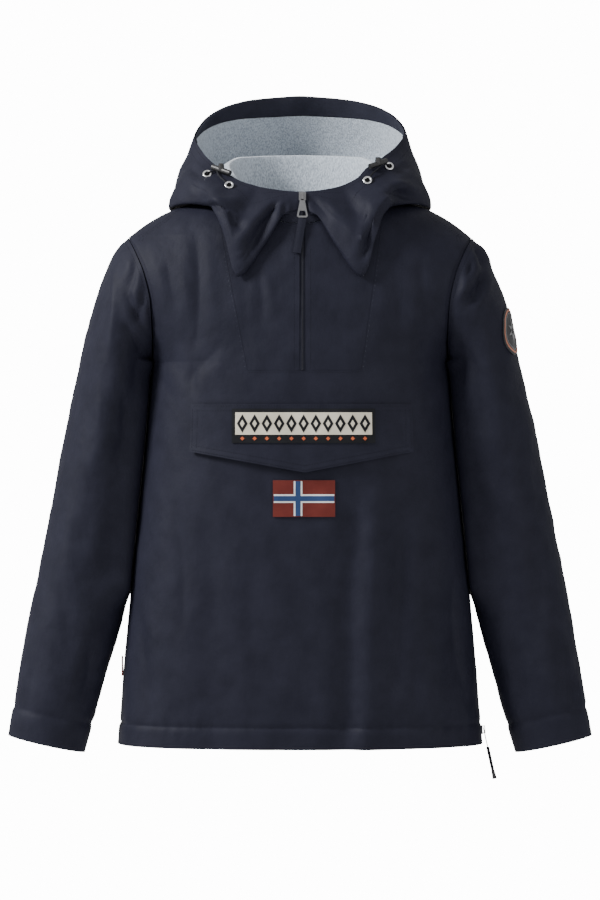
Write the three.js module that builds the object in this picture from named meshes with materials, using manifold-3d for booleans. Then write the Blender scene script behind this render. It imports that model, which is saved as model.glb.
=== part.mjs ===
// Hooded pullover anorak with a half zip, a pocket flap, a side zip and a fleece-lined hood.
// Millimetres, +Z up. The front faces -Y and +X is the viewer's right. The origin lies between
// the wearer's shoulders, at the level of the neck. The garment is filled out with no wearer in it.

import * as THREE from 'three';
import { mergeVertices } from 'three/addons/utils/BufferGeometryUtils.js';
import Module from 'manifold-3d';

// Walls and seams
const CLOTH = 2;
const HOOD_SHELL = 1.2;
const FLEECE = 1.3;
const SEAM_GAP = 0.3;
const HALF_GAP = SEAM_GAP / 2;
const LINING_GAP = 0.5;

// Body
const HEM_Z = -692;
const ARMPIT_Z = -200;
const SHOULDER_Z = -38;
const ARMHOLE_FRONT = 82;
const ARMHOLE_BACK = 88;
const SHOULDER_SEAM_Y = -20;
const NECK_Y = -14;
const NECK_FRONT_Z = -25;
const NECK_SIDE_Z = 15;
const NECK_BACK_Z = 2;

// Half zip and the insert panel it is sewn into
const ZIP_X = 3;
const ZIP_SLOT = 7;
const ZIP_FOOT_Z = -212;
const INSERT_LEFT_FOOT = -66;
const INSERT_RIGHT_FOOT = 77;
const INSERT_LEFT_LEAN = -0.19;
const INSERT_RIGHT_LEAN = 0.14;
const FRONT_CUT = { near: -200, far: -30, top: 60 };

// Side zip, at the viewer's right side seam
const SIDE_ZIP_TOP_Z = -330;
const SIDE_ZIP_SLOT = 7;

// Pocket flap and patches
const FLAP = { left: -137, right: 140, top: -254, side: -314, tip: -340, tipX: 6, thick: 2 };
const FLAP_LIFT = { top: 0.6, tip: 3 };
const CHEST_PATCH = { x: 4.5, z: -281.5, width: 178, height: 43, thick: 1.2 };
const FLAG_PATCH = { x: 5, z: -373, width: 78, height: 46, thick: 1.2, lift: 0.7 };
const BADGE = { share: 0.231, turn: 31, radius: 30, cells: 8, thick: 1.2, lift: 0.6 };
const LABEL = { z: -593, height: 26, reach: 13, thick: 0.8, turn: 8, lift: 1.9 };

// Zip strips, sliders and pulls
const STRIP = { width: 6.4, near: 0.4, far: 1.6, spacing: 22 };
const SLIDER = { width: 9, low: 2, high: 13, plate: 2.2, stem: 4, off: 0.4 };
const BRIDGE = { width: 3, reach: 3.6, bar: 1, below: 7, above: 2 };
const ROD = 1.2;
const TAB = { neck: 7, flare: 10, thick: 1.2, wall: 1.5, ring: 8.2, corner: 2 };
const WINDOW = { rim: 2.4, height: 9, narrow: 0.8 };
const FRONT_PULL = { width: 14, length: 31, lean: 13, hang: 0, z: 2, y: -100.1 };
const SIDE_PULL = { width: 8, length: 25, lean: 4.5, hang: 8, z: -683 };
const TAG = { width: 10, length: 46, thick: 1.6, sway: 9, drop: 0.9 };
const PULL_CORD = { radius: 2.1, length: 30, endRadius: 3, endLength: 12 };

// Eyelets, cord locks and the elastic cord between them, on each side of the hood's mouth
const EYELET = { inner: 1.9, outer: 5.5, thick: 1, sides: 14 };
const LOCK = { radius: 3.5, knob: 4, knobTop: 3.4, knobHeight: 8, lean: 14, lift: 5.5 };
const ELASTIC = { radius: 1.3, start: 0.45, arch: 4, lead: 3.5 };
const HOOD_CORDS = table(
  ['side', 'outerAngle', 'outerV', 'outerLift', 'innerAngle', 'innerV', 'innerLift',
    'lockOuter', 'lockOuterV', 'lockInner', 'lockInnerV'],
  ['left', 289, 0.91, 0.5, 308.5, 0.92, 1, 287.5, 0.96, 299.5, 0.99],
  ['right', 70, 0.93, 2, 51.5, 0.94, 1.5, 71, 0.96, 59, 0.98],
);

// How finely the walls are divided
const SKIRT_ROWS = 8;
const ARMHOLE_ROWS = 12;
const YOKE_ROWS = 4;
const BODY_COLUMNS = 20;
const SLEEVE_ROWS = 13;
const SLEEVE_CROWD = 1.15;
const SEWN_SHARE = 0.16;
const FOLD_CLEAR = 0.2;

// A table with named columns: one object for each row.
function table(columns, ...rows) {
  return rows.map((row) => Object.fromEntries(columns.map((name, i) => [name, row[i]])));
}

// A smooth curve through one column of a table, which never swings past its rows.
function through(rows, key, column, flatEnds = false) {
  const at = rows.map((row) => row[key]);
  const value = rows.map((row) => row[column]);
  const last = at.length - 1;
  const rise = (i) => (value[i + 1] - value[i]) / (at[i + 1] - at[i]);
  const slope = at.map((_, i) => {
    if (i === 0) return flatEnds ? 0 : rise(0);
    if (i === last) return flatEnds ? 0 : rise(last - 1);
    const before = rise(i - 1);
    const after = rise(i);
    return before * after <= 0 ? 0 : (2 * before * after) / (before + after);
  });
  return (x) => {
    const place = THREE.MathUtils.clamp(x, at[0], at[last]);
    let i = 0;
    while (i < last - 1 && place > at[i + 1]) i += 1;
    const span = at[i + 1] - at[i];
    const s = (place - at[i]) / span;
    const rest = 1 - s;
    return value[i] * (1 + 2 * s) * rest * rest + slope[i] * span * s * rest * rest
      + value[i + 1] * s * s * (3 - 2 * s) - slope[i + 1] * span * s * s * rest;
  };
}

const lerp = THREE.MathUtils.lerp;
const radians = THREE.MathUtils.degToRad;
const smooth = THREE.MathUtils.smoothstep;
const point = (x, y, z) => new THREE.Vector3(x, y, z);

// The body's sections, from the hem to the top of the armholes
const BODY = table(
  ['z', 'side', 'front', 'back', 'squareness'],
  [HEM_Z, 236, -105, 104, 2.5],
  [-600, 229, -113, 109, 2.5],
  [-476, 218, -122, 114, 2.5],
  [-377, 208, -128, 119, 2.5],
  [-300, 200, -131, 125, 2.5],
  [ARMPIT_Z, 192, -133, 134, 2.4],
  [-170, 189, -131, 137, 2.3],
  [-130, 190, -127, 138, 2.25],
  [-90, 198, -120, 133, 2.2],
  [-60, 210, -114, 122, 2.15],
  [SHOULDER_Z, 222, -108, 108, 2.1],
);

// The shoulders, from the top of the armholes to the neckline
const YOKE = table(
  ['share', 'side', 'sideZ', 'front', 'frontZ', 'back', 'backZ'],
  [0, 222, SHOULDER_Z, -108, SHOULDER_Z, 108, SHOULDER_Z],
  [0.25, 194, -17, -107.3, -34.5, 101, -26],
  [0.5, 160, 0, -106.6, -31, 92, -14],
  [0.75, 124, 9.5, -105.8, -28, 82, -4.5],
  [1, 90, NECK_SIDE_Z, -105, NECK_FRONT_Z, 72, NECK_BACK_Z],
);

// The sleeve's rings: the outer and inner edge seen from the front, the depth and the middle's y
const SLEEVE = table(
  ['share', 'outerX', 'outerZ', 'innerX', 'innerZ', 'depth', 'middle'],
  [0, 222, SHOULDER_Z, 192, ARMPIT_Z, 170, 0],
  [0.04, 237, -52, 195, -205, 174, 0],
  [0.1, 251, -79, 199, -213, 176, 0],
  [0.17, 265, -116, 198.5, -228, 173, 0],
  [0.24, 276, -159, 198.2, -250, 168, 0],
  [0.34, 291, -221, 200.6, -290, 157, 1],
  [0.43, 303, -275, 204.2, -328, 149, 2],
  [0.52, 315.5, -336, 209.4, -376, 141, 3],
  [0.61, 327, -396, 215, -430, 134, 3],
  [0.7, 338, -453, 220.6, -484, 126, 1],
  [0.79, 349, -511, 232.5, -540, 114, -2],
  [0.88, 360, -574, 250.5, -601, 98, -6],
  [0.94, 368.5, -628, 265, -652, 84, -9],
  [1, 377.5, -681, 279.5, -703, 66, -12],
);

// The hood's profile at each angle from the centre front: radius and height of the neck seam's
// stand, the hanging fold, the swell above it and the mouth's rim
const HOOD = table(
  ['angle', 'standR', 'standZ', 'hangR', 'hangZ', 'swellR', 'swellZ', 'rimR', 'rimZ', 'fold', 'rightLift'],
  [0, 90.3, -18, 88, -8, 85.5, 3, 82, 16, 0, 0],
  [12, 90, -14, 95, -14, 93, -2, 82, 17, 1.2, 0],
  [24, 90, -3, 113, -54, 115, -24, 84, 19.5, 4, 0],
  [36, 92, 4, 134, -94, 139, -50, 88, 23, 6, 1],
  [42, 93, 9, 138, -46, 143, -14, 91, 26, 6.5, 2],
  [50, 93, 16, 138, -13, 144, 7, 95, 30, 7, 5],
  [60, 93, 26, 134, -2, 142, 18, 100, 38, 7, 12],
  [75, 93, 42, 151, 4, 148, 30, 112, 54, 7, 12],
  [90, 93, 55, 164, 2, 155, 42, 127, 75, 7, 9],
  [105, 92, 63, 167, 0, 160, 52, 142, 102, 7, 6],
  [120, 91, 69, 161, -6, 164, 60, 140, 125, 7, 3],
  [135, 90, 71.5, 156.5, -12.5, 167, 62.5, 136, 141.5, 7, 1],
  [150, 89, 74, 154, -18, 170, 64, 131, 155, 7, 0],
  [180, 88, 76, 153, -22, 172, 64, 119, 160, 7, 0],
);
const HOOD_STATIONS = [0, 0.2, 0.33, 0.46, 0.5, 0.54, 0.76, 1];
const STAND_V = HOOD_STATIONS[1];
const FACING_V = 0.94;
const PLAIN_FOLLOW = 0.12;
const PLAIN_CLEAR = 2.8;
const HOOD_STEP = 0.012;
const FACING_FROM = 98;
const FACING_GAP = 0.003;
const FACING_ROWS = [0, 0.5, 1];
const HOOD_ROWS = [0, 0.1, 0.17, 0.2, 0.25, 0.36, 0.46, 0.5, 0.54, 0.64, 0.76, 0.88, 1];
const HOOD_ANGLES = [
  0, 8, 16, 24, 30, 36, 42, 48, 54, 60, 68, 76, 84, 92, 100, 110, 122, 135, 150, 165, 180,
];
const FOLD_RISE = 0.75;

// Soft folds of the cloth: a band that runs down from a place on the panel, out or in
const FRONT_FOLDS = table(
  ['x', 'lean', 'top', 'bottom', 'width', 'depth'],
  [68, 0.02, -345, -700, 17, -7],
  [96, 0.04, -330, -720, 16, 5],
  [128, 0.02, -345, -640, 15, -6],
  [176, -0.1, -430, -700, 20, -5],
  [-120, -0.05, -380, -700, 26, -4],
);
const BACK_FOLDS = table(
  ['x', 'lean', 'top', 'bottom', 'width', 'depth'],
  [-95, 0.05, -300, -720, 22, -6],
  [40, -0.04, -380, -730, 20, -5],
  [140, -0.06, -260, -690, 24, -6],
);

const bodySide = through(BODY, 'z', 'side');
const bodyFront = through(BODY, 'z', 'front');
const bodyBack = through(BODY, 'z', 'back');
const bodySquareness = through(BODY, 'z', 'squareness');

// How far the folds move the cloth out at a place seen from the front.
function foldDepth(folds, x, z) {
  return folds.reduce((sum, fold) => {
    const across = (x - fold.x - fold.lean * (z - fold.top)) / fold.width;
    const fade = smooth(fold.top - z, 0, 90) * smooth(z - fold.bottom, -30, 60);
    return sum + fold.depth * Math.exp(-across * across) * fade;
  }, 0);
}

// One section of the body: its edge, its middle and its heights, at a level from the hem (0)
// past the armpit (1) and the top of the armhole (2) to the neckline (3).
function bodySection(face, level) {
  const isFront = face === 'front';
  if (level <= 1) {
    const z = lerp(HEM_Z, ARMPIT_Z, level);
    return {
      edgeX: bodySide(z), edgeY: 0, seamY: 0, edgeZ: z, middleZ: z,
      middleY: isFront ? bodyFront(z) : bodyBack(z), squareness: bodySquareness(z),
    };
  }
  if (level <= 2) {
    const turn = Math.PI * (2 - level);
    const up = (1 + Math.cos(turn)) / 2;
    const z = lerp(ARMPIT_Z, SHOULDER_Z, up);
    const seamY = SHOULDER_SEAM_Y * up;
    const bulge = Math.sin(turn) * (isFront ? -ARMHOLE_FRONT : ARMHOLE_BACK);
    return {
      edgeX: bodySide(z), edgeY: seamY + bulge, seamY, edgeZ: z, middleZ: z,
      middleY: isFront ? bodyFront(z) : bodyBack(z), squareness: bodySquareness(z),
    };
  }
  const share = level - 2;
  const read = (column) => through(YOKE, 'share', column)(share);
  return {
    edgeX: read('side'), edgeY: lerp(SHOULDER_SEAM_Y, NECK_Y, share),
    seamY: lerp(SHOULDER_SEAM_Y, NECK_Y, share), edgeZ: read('sideZ'),
    middleZ: read(isFront ? 'frontZ' : 'backZ'), middleY: read(isFront ? 'front' : 'back'),
    squareness: lerp(bodySquareness(SHOULDER_Z), 2, share),
  };
}

// A point of the front or back panel: across runs from -1 to 1 in the panel's own sense.
function bodyPoint(face, level, across) {
  const section = bodySection(face, level);
  const power = 2 / section.squareness;
  const reach = section.middleY - section.seamY;
  const edgeShare = THREE.MathUtils.clamp((section.edgeY - section.seamY) / reach, 0, 1);
  const edgeTurn = Math.acos(edgeShare ** (1 / power));
  const halfWidth = section.edgeX / Math.sin(edgeTurn) ** power;
  const turn = across * edgeTurn;
  const way = face === 'front' ? 1 : -1;
  const cosine = Math.max(Math.cos(turn), 0);
  const x = way * Math.sign(turn) * halfWidth * Math.abs(Math.sin(turn)) ** power;
  const z = lerp(section.edgeZ, section.middleZ, cosine * cosine);
  const folds = face === 'front' ? FRONT_FOLDS : BACK_FOLDS;
  const out = foldDepth(folds, x, z) * smooth(1 - Math.abs(across), 0, FOLD_CLEAR);
  return point(x, section.seamY + reach * cosine ** power - way * out, z);
}

// The front panel's surface at a place seen from the front, below the armpits.
function frontY(x, z) {
  const squareness = bodySquareness(z);
  const within = 1 - (Math.abs(x) / bodySide(z)) ** squareness;
  return bodyFront(z) * within ** (1 / squareness) - foldDepth(FRONT_FOLDS, x, z);
}

// A point of the viewer's right sleeve: turn 0 is its outer edge, then front, inner edge and back.
function sleevePoint(share, turn) {
  const read = (column) => through(SLEEVE, 'share', column)(share);
  const outward = (1 + Math.cos(turn)) / 2;
  const ring = point(
    lerp(read('innerX'), read('outerX'), outward),
    read('middle') - (read('depth') / 2) * Math.sin(turn),
    lerp(read('innerZ'), read('outerZ'), outward),
  );
  const section = bodySection(Math.sin(turn) >= 0 ? 'front' : 'back', 1 + outwardLevel(turn));
  const armhole = point(section.edgeX, section.edgeY, section.edgeZ);
  const sewn = 1 - smooth(share, 0, SEWN_SHARE);
  return ring.lerp(armhole.add(sleeveCarry(share, turn)), sewn);
}

// The level within the armhole that a turn round the sleeve meets.
function outwardLevel(turn) {
  return 1 - Math.acos(THREE.MathUtils.clamp(Math.cos(turn), -1, 1)) / Math.PI;
}

// How far a ring has moved on from the armhole, at its own turn.
function sleeveCarry(share, turn) {
  const outward = (1 + Math.cos(turn)) / 2;
  const moved = (column) => through(SLEEVE, 'share', column)(share) - through(SLEEVE, 'share', column)(0);
  return point(
    lerp(moved('innerX'), moved('outerX'), outward),
    -(moved('depth') / 2) * Math.sin(turn),
    lerp(moved('innerZ'), moved('outerZ'), outward),
  );
}

// How many degrees an angle round the neck is from the centre front.
function fromFront(angle) {
  return Math.abs(angle > 180 ? angle - 360 : angle);
}

// A point of the hood: v runs from the neck seam (0) over the stand and the fold to the rim (1).
function hoodPoint(angle, v) {
  const from = fromFront(angle);
  const read = (column) => through(HOOD, 'angle', column, true)(from);
  const turn = radians(angle);
  const half = Math.cos(turn) > 0 ? NECK_Y - YOKE.at(-1).front : YOKE.at(-1).back - NECK_Y;
  const seamR = 1 / Math.hypot(Math.sin(turn) / YOKE.at(-1).side, Math.cos(turn) / half);
  const middle = Math.cos(turn) > 0 ? NECK_FRONT_Z : NECK_BACK_Z;
  const seamZ = lerp(NECK_SIDE_Z, middle, Math.cos(turn) ** 2) + 2 * SEAM_GAP;
  const fold = read('fold');
  const rise = fold * FOLD_RISE;
  const stations = [
    [seamR, seamZ],
    [read('standR'), read('standZ')],
    [(read('standR') + read('hangR')) / 2 + fold, (read('standZ') + read('hangZ')) / 2 + rise],
    [read('hangR') - fold, read('hangZ') + rise],
    [read('hangR'), read('hangZ')],
    [read('hangR') + 0.7 * fold, read('hangZ') + rise],
    [read('swellR'), read('swellZ')],
    [read('rimR'), read('rimZ') + (angle < 180 ? read('rightLift') : 0)],
  ];
  const rows = stations.map(([r, z], i) => ({ v: HOOD_STATIONS[i], r, z }));
  const r = through(rows, 'v', 'r')(v);
  return point(r * Math.sin(turn), NECK_Y - r * Math.cos(turn), through(rows, 'v', 'z')(v));
}

// The normals of a grid of points, from its neighbours.
function gridNormals(grid, ringed) {
  const rows = grid.length;
  const columns = grid[0].length;
  const at = (r, c) => grid[r][ringed ? (c + columns) % columns : THREE.MathUtils.clamp(c, 0, columns - 1)];
  return grid.map((row, r) => row.map((_, c) => {
    const across = at(r, c + 1).clone().sub(at(r, c - 1));
    const up = at(Math.min(r + 1, rows - 1), c).clone().sub(at(Math.max(r - 1, 0), c));
    return across.cross(up).normalize();
  }));
}

// A closed wall from a grid of outer points: its skins lie at two depths under them.
function wall(grid, near, far, { ringed = false, normals = gridNormals(grid, ringed) } = {}) {
  const rows = grid.length;
  const columns = grid[0].length;
  const positions = [];
  for (const depth of [near, far]) {
    grid.forEach((row, r) => row.forEach((p, c) => {
      positions.push(...p.clone().addScaledVector(normals[r][c], -depth).toArray());
    }));
  }
  const at = (skin, r, c) => skin * rows * columns + r * columns + (c % columns);
  const triangles = [];
  const face = (a, b, c, d) => triangles.push(a, b, c, a, c, d);
  const strips = ringed ? columns : columns - 1;
  for (let r = 0; r < rows - 1; r += 1) {
    for (let c = 0; c < strips; c += 1) {
      face(at(0, r, c), at(0, r, c + 1), at(0, r + 1, c + 1), at(0, r + 1, c));
      face(at(1, r, c), at(1, r + 1, c), at(1, r + 1, c + 1), at(1, r, c + 1));
    }
  }
  for (let c = 0; c < strips; c += 1) {
    face(at(0, 0, c), at(1, 0, c), at(1, 0, c + 1), at(0, 0, c + 1));
    face(at(0, rows - 1, c), at(0, rows - 1, c + 1), at(1, rows - 1, c + 1), at(1, rows - 1, c));
  }
  if (!ringed) {
    for (let r = 0; r < rows - 1; r += 1) {
      face(at(0, r, 0), at(0, r + 1, 0), at(1, r + 1, 0), at(1, r, 0));
      const end = columns - 1;
      face(at(0, r, end), at(1, r, end), at(1, r + 1, end), at(0, r + 1, end));
    }
  }
  const geometry = new THREE.BufferGeometry();
  geometry.setAttribute('position', new THREE.Float32BufferAttribute(positions, 3));
  geometry.setIndex(triangles);
  return geometry;
}

const wasm = await Module();
wasm.setup();

// A closed mesh as a solid that can be joined and cut.
function solid(geometry) {
  const bare = geometry.clone();
  bare.deleteAttribute('normal');
  bare.deleteAttribute('uv');
  const merged = mergeVertices(bare, 1e-4);
  return new wasm.Manifold(new wasm.Mesh({
    numProp: 3,
    vertProperties: new Float32Array(merged.attributes.position.array),
    triVerts: new Uint32Array(merged.index.array),
  }));
}

// A solid's mesh again, for the scene.
function geometryOf(manifold) {
  const mesh = manifold.getMesh();
  const geometry = new THREE.BufferGeometry();
  geometry.setAttribute('position', new THREE.BufferAttribute(new Float32Array(mesh.vertProperties), 3));
  geometry.setIndex(new THREE.BufferAttribute(new Uint32Array(mesh.triVerts), 1));
  return geometry;
}

// A block seen from the front as a polygon, from one depth to another.
function frontBlock(corners, nearY, farY) {
  const depth = farY - nearY;
  const geometry = new THREE.ExtrudeGeometry(shapeOf(corners), { depth, bevelEnabled: false });
  geometry.rotateX(Math.PI / 2);
  geometry.translate(0, farY, 0);
  return geometry;
}

// A plain box from its lowest to its highest corner.
function box(low, high) {
  const size = high.clone().sub(low);
  const geometry = new THREE.BoxGeometry(size.x, size.y, size.z);
  const middle = low.clone().add(high).multiplyScalar(0.5);
  return geometry.translate(middle.x, middle.y, middle.z);
}

const COLOURS = {
  nylon: [0x23252f, 0.75, 0],
  fleece: [0xaab2bc, 0.95, 0],
  metal: [0x8e9094, 0.35, 1],
  plastic: [0x17181c, 0.5, 0],
  elastic: [0x1b1c22, 0.85, 0],
  cream: [0xcfc6b0, 0.9, 0],
  flag: [0x7a322c, 0.85, 0],
  badge: [0x8a8c90, 0.85, 0],
  label: [0xb4412c, 0.85, 0],
};
const anorak = new THREE.Group();

// Adds one named piece.
function add(name, geometry, colour) {
  const [color, roughness, metalness] = COLOURS[colour];
  const mesh = new THREE.Mesh(geometry, new THREE.MeshStandardMaterial({ color, roughness, metalness }));
  mesh.name = name;
  anorak.add(mesh);
  return mesh;
}

// Front, back and sleeves share the armhole's points, and meet there on one mitre.
function levels() {
  const rows = [];
  for (let i = 0; i < SKIRT_ROWS; i += 1) rows.push(i / SKIRT_ROWS);
  for (let i = 0; i < ARMHOLE_ROWS; i += 1) rows.push(1 + i / ARMHOLE_ROWS);
  for (let i = 0; i <= YOKE_ROWS; i += 1) rows.push(2 + i / YOKE_ROWS);
  return rows;
}

function panelGrid(face) {
  return levels().map((level) => {
    const row = [];
    for (let c = 0; c <= BODY_COLUMNS; c += 1) {
      row.push(bodyPoint(face, level, (2 * c) / BODY_COLUMNS - 1));
    }
    return row;
  });
}

function sleeveGrid() {
  const ring = 2 * ARMHOLE_ROWS;
  const grid = [];
  for (let r = 0; r <= SLEEVE_ROWS; r += 1) {
    const share = (r / SLEEVE_ROWS) ** SLEEVE_CROWD;
    const row = [];
    for (let c = 0; c < ring; c += 1) row.push(sleevePoint(share, (2 * Math.PI * c) / ring));
    grid.push(row);
  }
  return grid;
}

// Gives the two panels and the sleeve the same mitre at the armhole, half a gap apart.
function joinArmhole(front, back, sleeve, side) {
  const ring = 2 * ARMHOLE_ROWS;
  const top = SKIRT_ROWS + ARMHOLE_ROWS;
  const column = { front: side > 0 ? BODY_COLUMNS : 0, back: side > 0 ? 0 : BODY_COLUMNS };
  const edges = [];
  for (let c = 0; c < ring; c += 1) {
    const row = c <= ARMHOLE_ROWS ? top - c : top - (ring - c);
    const holders = [];
    if (c <= ARMHOLE_ROWS) holders.push([front, row, column.front]);
    if (c === 0 || c >= ARMHOLE_ROWS) holders.push([back, row, column.back]);
    const mitre = sleeve.normals[0][c].clone();
    holders.forEach(([panel, r, col]) => mitre.addScaledVector(panel.normals[r][col], 1 / holders.length));
    edges.push({ holders, mitre: mitre.normalize(), at: sleeve.grid[0][c].clone() });
  }
  edges.forEach((edge, c) => {
    const along = edges[(c + 1) % ring].at.clone().sub(edges[(c + ring - 1) % ring].at);
    const outward = side > 0 ? edge.mitre.clone().cross(along) : along.cross(edge.mitre);
    const away = outward.normalize().multiplyScalar(HALF_GAP);
    sleeve.grid[0][c].add(away);
    sleeve.normals[0][c].copy(edge.mitre);
    edge.holders.forEach(([panel, r, col]) => {
      panel.grid[r][col].sub(away);
      panel.normals[r][col].copy(edge.mitre);
    });
  });
}

function mirrored(grid) {
  return grid.map((row) => row.map((p, c) => {
    const twin = row[(row.length - c) % row.length];
    return point(-twin.x, twin.y, twin.z);
  }));
}

// Opens the side and shoulder seams by half a gap on each panel.
function openSeams(panel, way) {
  panel.grid.forEach((row, r) => {
    const inArmhole = r > SKIRT_ROWS && r < SKIRT_ROWS + ARMHOLE_ROWS;
    if (inArmhole) return;
    for (const c of [0, BODY_COLUMNS]) {
      row[c].y += way * HALF_GAP;
    }
  });
}

function buildBody() {
  const front = { grid: panelGrid('front') };
  const back = { grid: panelGrid('back') };
  front.normals = gridNormals(front.grid);
  back.normals = gridNormals(back.grid);
  // The two panels share their normals along the side and shoulder seams.
  front.grid.forEach((row, r) => {
    for (const [here, there] of [[0, BODY_COLUMNS], [BODY_COLUMNS, 0]]) {
      const inArmhole = r > SKIRT_ROWS && r < SKIRT_ROWS + ARMHOLE_ROWS;
      if (inArmhole) continue;
      const shared = front.normals[r][here].clone().add(back.normals[r][there]);
      shared.y = 0;
      shared.normalize();
      front.normals[r][here].copy(shared);
      back.normals[r][there].copy(shared);
    }
  });
  const right = { grid: sleeveGrid() };
  const left = { grid: mirrored(right.grid) };
  right.normals = gridNormals(right.grid, true);
  left.normals = gridNormals(left.grid, true);
  joinArmhole(front, back, right, 1);
  joinLeft(front, back, left);
  openSeams(front, -1);
  openSeams(back, 1);

  const frontWall = solid(wall(front.grid, 0, CLOTH, { normals: front.normals }));
  const backWall = solid(wall(back.grid, 0, CLOTH, { normals: back.normals }));
  const zip = sideZipSlot(0);
  add('front', geometryOf(frontWall.subtract(insertBlock(-1, 0)).subtract(insertBlock(1, 0))
    .subtract(slotBlock()).subtract(zip)), 'nylon');
  add('insert_left', geometryOf(frontWall.intersect(insertBlock(-1, SEAM_GAP))), 'nylon');
  add('insert_right', geometryOf(frontWall.intersect(insertBlock(1, SEAM_GAP))), 'nylon');
  add('back', geometryOf(backWall.subtract(zip)), 'nylon');
  add('sleeve_right', wall(right.grid, 0, CLOTH, { ringed: true, normals: right.normals }), 'nylon');
  add('sleeve_left', wall(left.grid, 0, CLOTH, { ringed: true, normals: left.normals }), 'nylon');
}

// The viewer's left armhole, whose sleeve ring runs the other way round.
function joinLeft(front, back, left) {
  const ring = 2 * ARMHOLE_ROWS;
  const turned = {
    grid: left.grid.map((row) => row.map((_, c) => row[(ring - c) % ring])),
    normals: left.normals.map((row) => row.map((_, c) => row[(ring - c) % ring])),
  };
  joinArmhole(front, back, turned, -1);
}

// One half of the insert panel beside the half zip, as a block to cut with.
function insertBlock(side, shrink) {
  const lean = side < 0 ? INSERT_LEFT_LEAN : INSERT_RIGHT_LEAN;
  const foot = side < 0 ? INSERT_LEFT_FOOT : INSERT_RIGHT_FOOT;
  const top = FRONT_CUT.top;
  const low = ZIP_FOOT_Z + shrink;
  const inner = ZIP_X + (side * ZIP_SLOT) / 2;
  const outerFoot = foot + lean * shrink - side * shrink;
  const outerTop = foot + lean * (top - ZIP_FOOT_Z) - side * shrink;
  const corners = [[inner, low], [outerFoot, low], [outerTop, top], [inner, top]];
  return solid(frontBlock(side < 0 ? corners.reverse() : corners, FRONT_CUT.near, FRONT_CUT.far));
}

function slotBlock() {
  const half = ZIP_SLOT / 2;
  const corners = [
    [ZIP_X - half - 1, ZIP_FOOT_Z], [ZIP_X + half + 1, ZIP_FOOT_Z],
    [ZIP_X + half + 1, FRONT_CUT.top], [ZIP_X - half - 1, FRONT_CUT.top],
  ];
  return solid(frontBlock(corners, FRONT_CUT.near, FRONT_CUT.far));
}

function sideZipSlot(shrink) {
  const half = SIDE_ZIP_SLOT / 2 - shrink;
  return solid(box(point(150, -half, HEM_Z - 20), point(300, half, SIDE_ZIP_TOP_Z - shrink)));
}

// Every angle of the hood's grid, from the zip right round to the zip.
function hoodAngles() {
  return [...HOOD_ANGLES, ...HOOD_ANGLES.slice(0, -1).reverse().map((angle) => 360 - angle)];
}

// The values of a function of the angle and v over the hood's grid.
function hoodGrid(surface) {
  return HOOD_ROWS.map((v) => hoodAngles().map((angle) => surface(angle, v)));
}

// Moves the hood's two front edges to the sides of the zip.
function openAtZip(grid) {
  grid.forEach((row) => {
    row[0].x = ZIP_X + ZIP_SLOT / 2;
    row.at(-1).x = ZIP_X - ZIP_SLOT / 2;
  });
  return grid;
}

// The hood's normal, out of its nylon side.
function hoodNormal(angle, v) {
  const low = Math.max(v - HOOD_STEP, 0);
  const high = Math.min(v + HOOD_STEP, 1);
  const round = hoodPoint(angle + 1, v).sub(hoodPoint(angle - 1, v));
  return round.cross(hoodPoint(angle, high).sub(hoodPoint(angle, low))).normalize();
}

// The lining lies under the shell. Behind, it follows the pouch down to the fold. In front it
// leaves the shell soon after the stand, and spans the hanging folds to the rim.
function liningPoint(angle, v) {
  const follow = lerp(PLAIN_FOLLOW, 1, smooth(fromFront(angle), 48, 84));
  const fold = HOOD_STATIONS[4];
  let place = v;
  if (v > STAND_V && v <= fold) place = STAND_V + (v - STAND_V) * follow;
  if (v > fold) place = 1 - (1 - v) * follow;
  const depth = HOOD_SHELL + LINING_GAP + Math.min(1, 8 * (1 - follow)) * PLAIN_CLEAR;
  return hoodPoint(angle, place).addScaledVector(hoodNormal(angle, place), -depth);
}

// Where the fleece ends: at the rim in front, and at the facing's lower edge behind.
function liningTop(angle) {
  return lerp(1, FACING_V, smooth(fromFront(angle), 88, 112));
}

function buildHood() {
  const shell = openAtZip(hoodGrid(hoodPoint));
  const normals = hoodGrid(hoodNormal);
  add('hood', wall(shell, 0, HOOD_SHELL, { normals }), 'nylon');
  const lining = openAtZip(hoodGrid((angle, v) => liningPoint(angle, v < 1 ? v : liningTop(angle))));
  add('hood_lining', wall(lining, 0, FLEECE), 'fleece');
  const behind = hoodAngles().filter((angle) => fromFront(angle) >= FACING_FROM);
  const facing = FACING_ROWS.map((share) => behind.map((angle) => (
    liningPoint(angle, lerp(liningTop(angle) + FACING_GAP, 1, share))
  )));
  add('hood_facing', wall(facing, 0, FLEECE), 'nylon');
}

// The normal of the front panel at a place seen from the front.
function frontNormal(x, z) {
  const step = 2;
  const across = point(2 * step, frontY(x + step, z) - frontY(x - step, z), 0);
  const up = point(0, frontY(x, z + step) - frontY(x, z - step), 2 * step);
  return across.cross(up).normalize();
}

// A piece of cloth laid on the front: place gives x and z at each corner of its grid.
function laidOnFront(columns, rows, place, liftAt, thick) {
  const grid = [];
  const normals = [];
  for (let r = 0; r <= rows; r += 1) {
    const places = Array.from({ length: columns + 1 }, (_, c) => place(c / columns, r / rows));
    normals.push(places.map(([x, z]) => frontNormal(x, z)));
    grid.push(places.map(([x, z], c) => (
      point(x, frontY(x, z), z).addScaledVector(normals[r][c], liftAt(z) + thick)
    )));
  }
  return wall(grid, 0, thick, { normals });
}

function flapLift(z) {
  return lerp(FLAP_LIFT.top, FLAP_LIFT.tip, (FLAP.top - z) / (FLAP.top - FLAP.tip));
}

function flapBottom(x) {
  const half = x < FLAP.tipX ? FLAP.tipX - FLAP.left : FLAP.right - FLAP.tipX;
  return lerp(FLAP.tip, FLAP.side, Math.abs(x - FLAP.tipX) / half);
}

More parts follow.
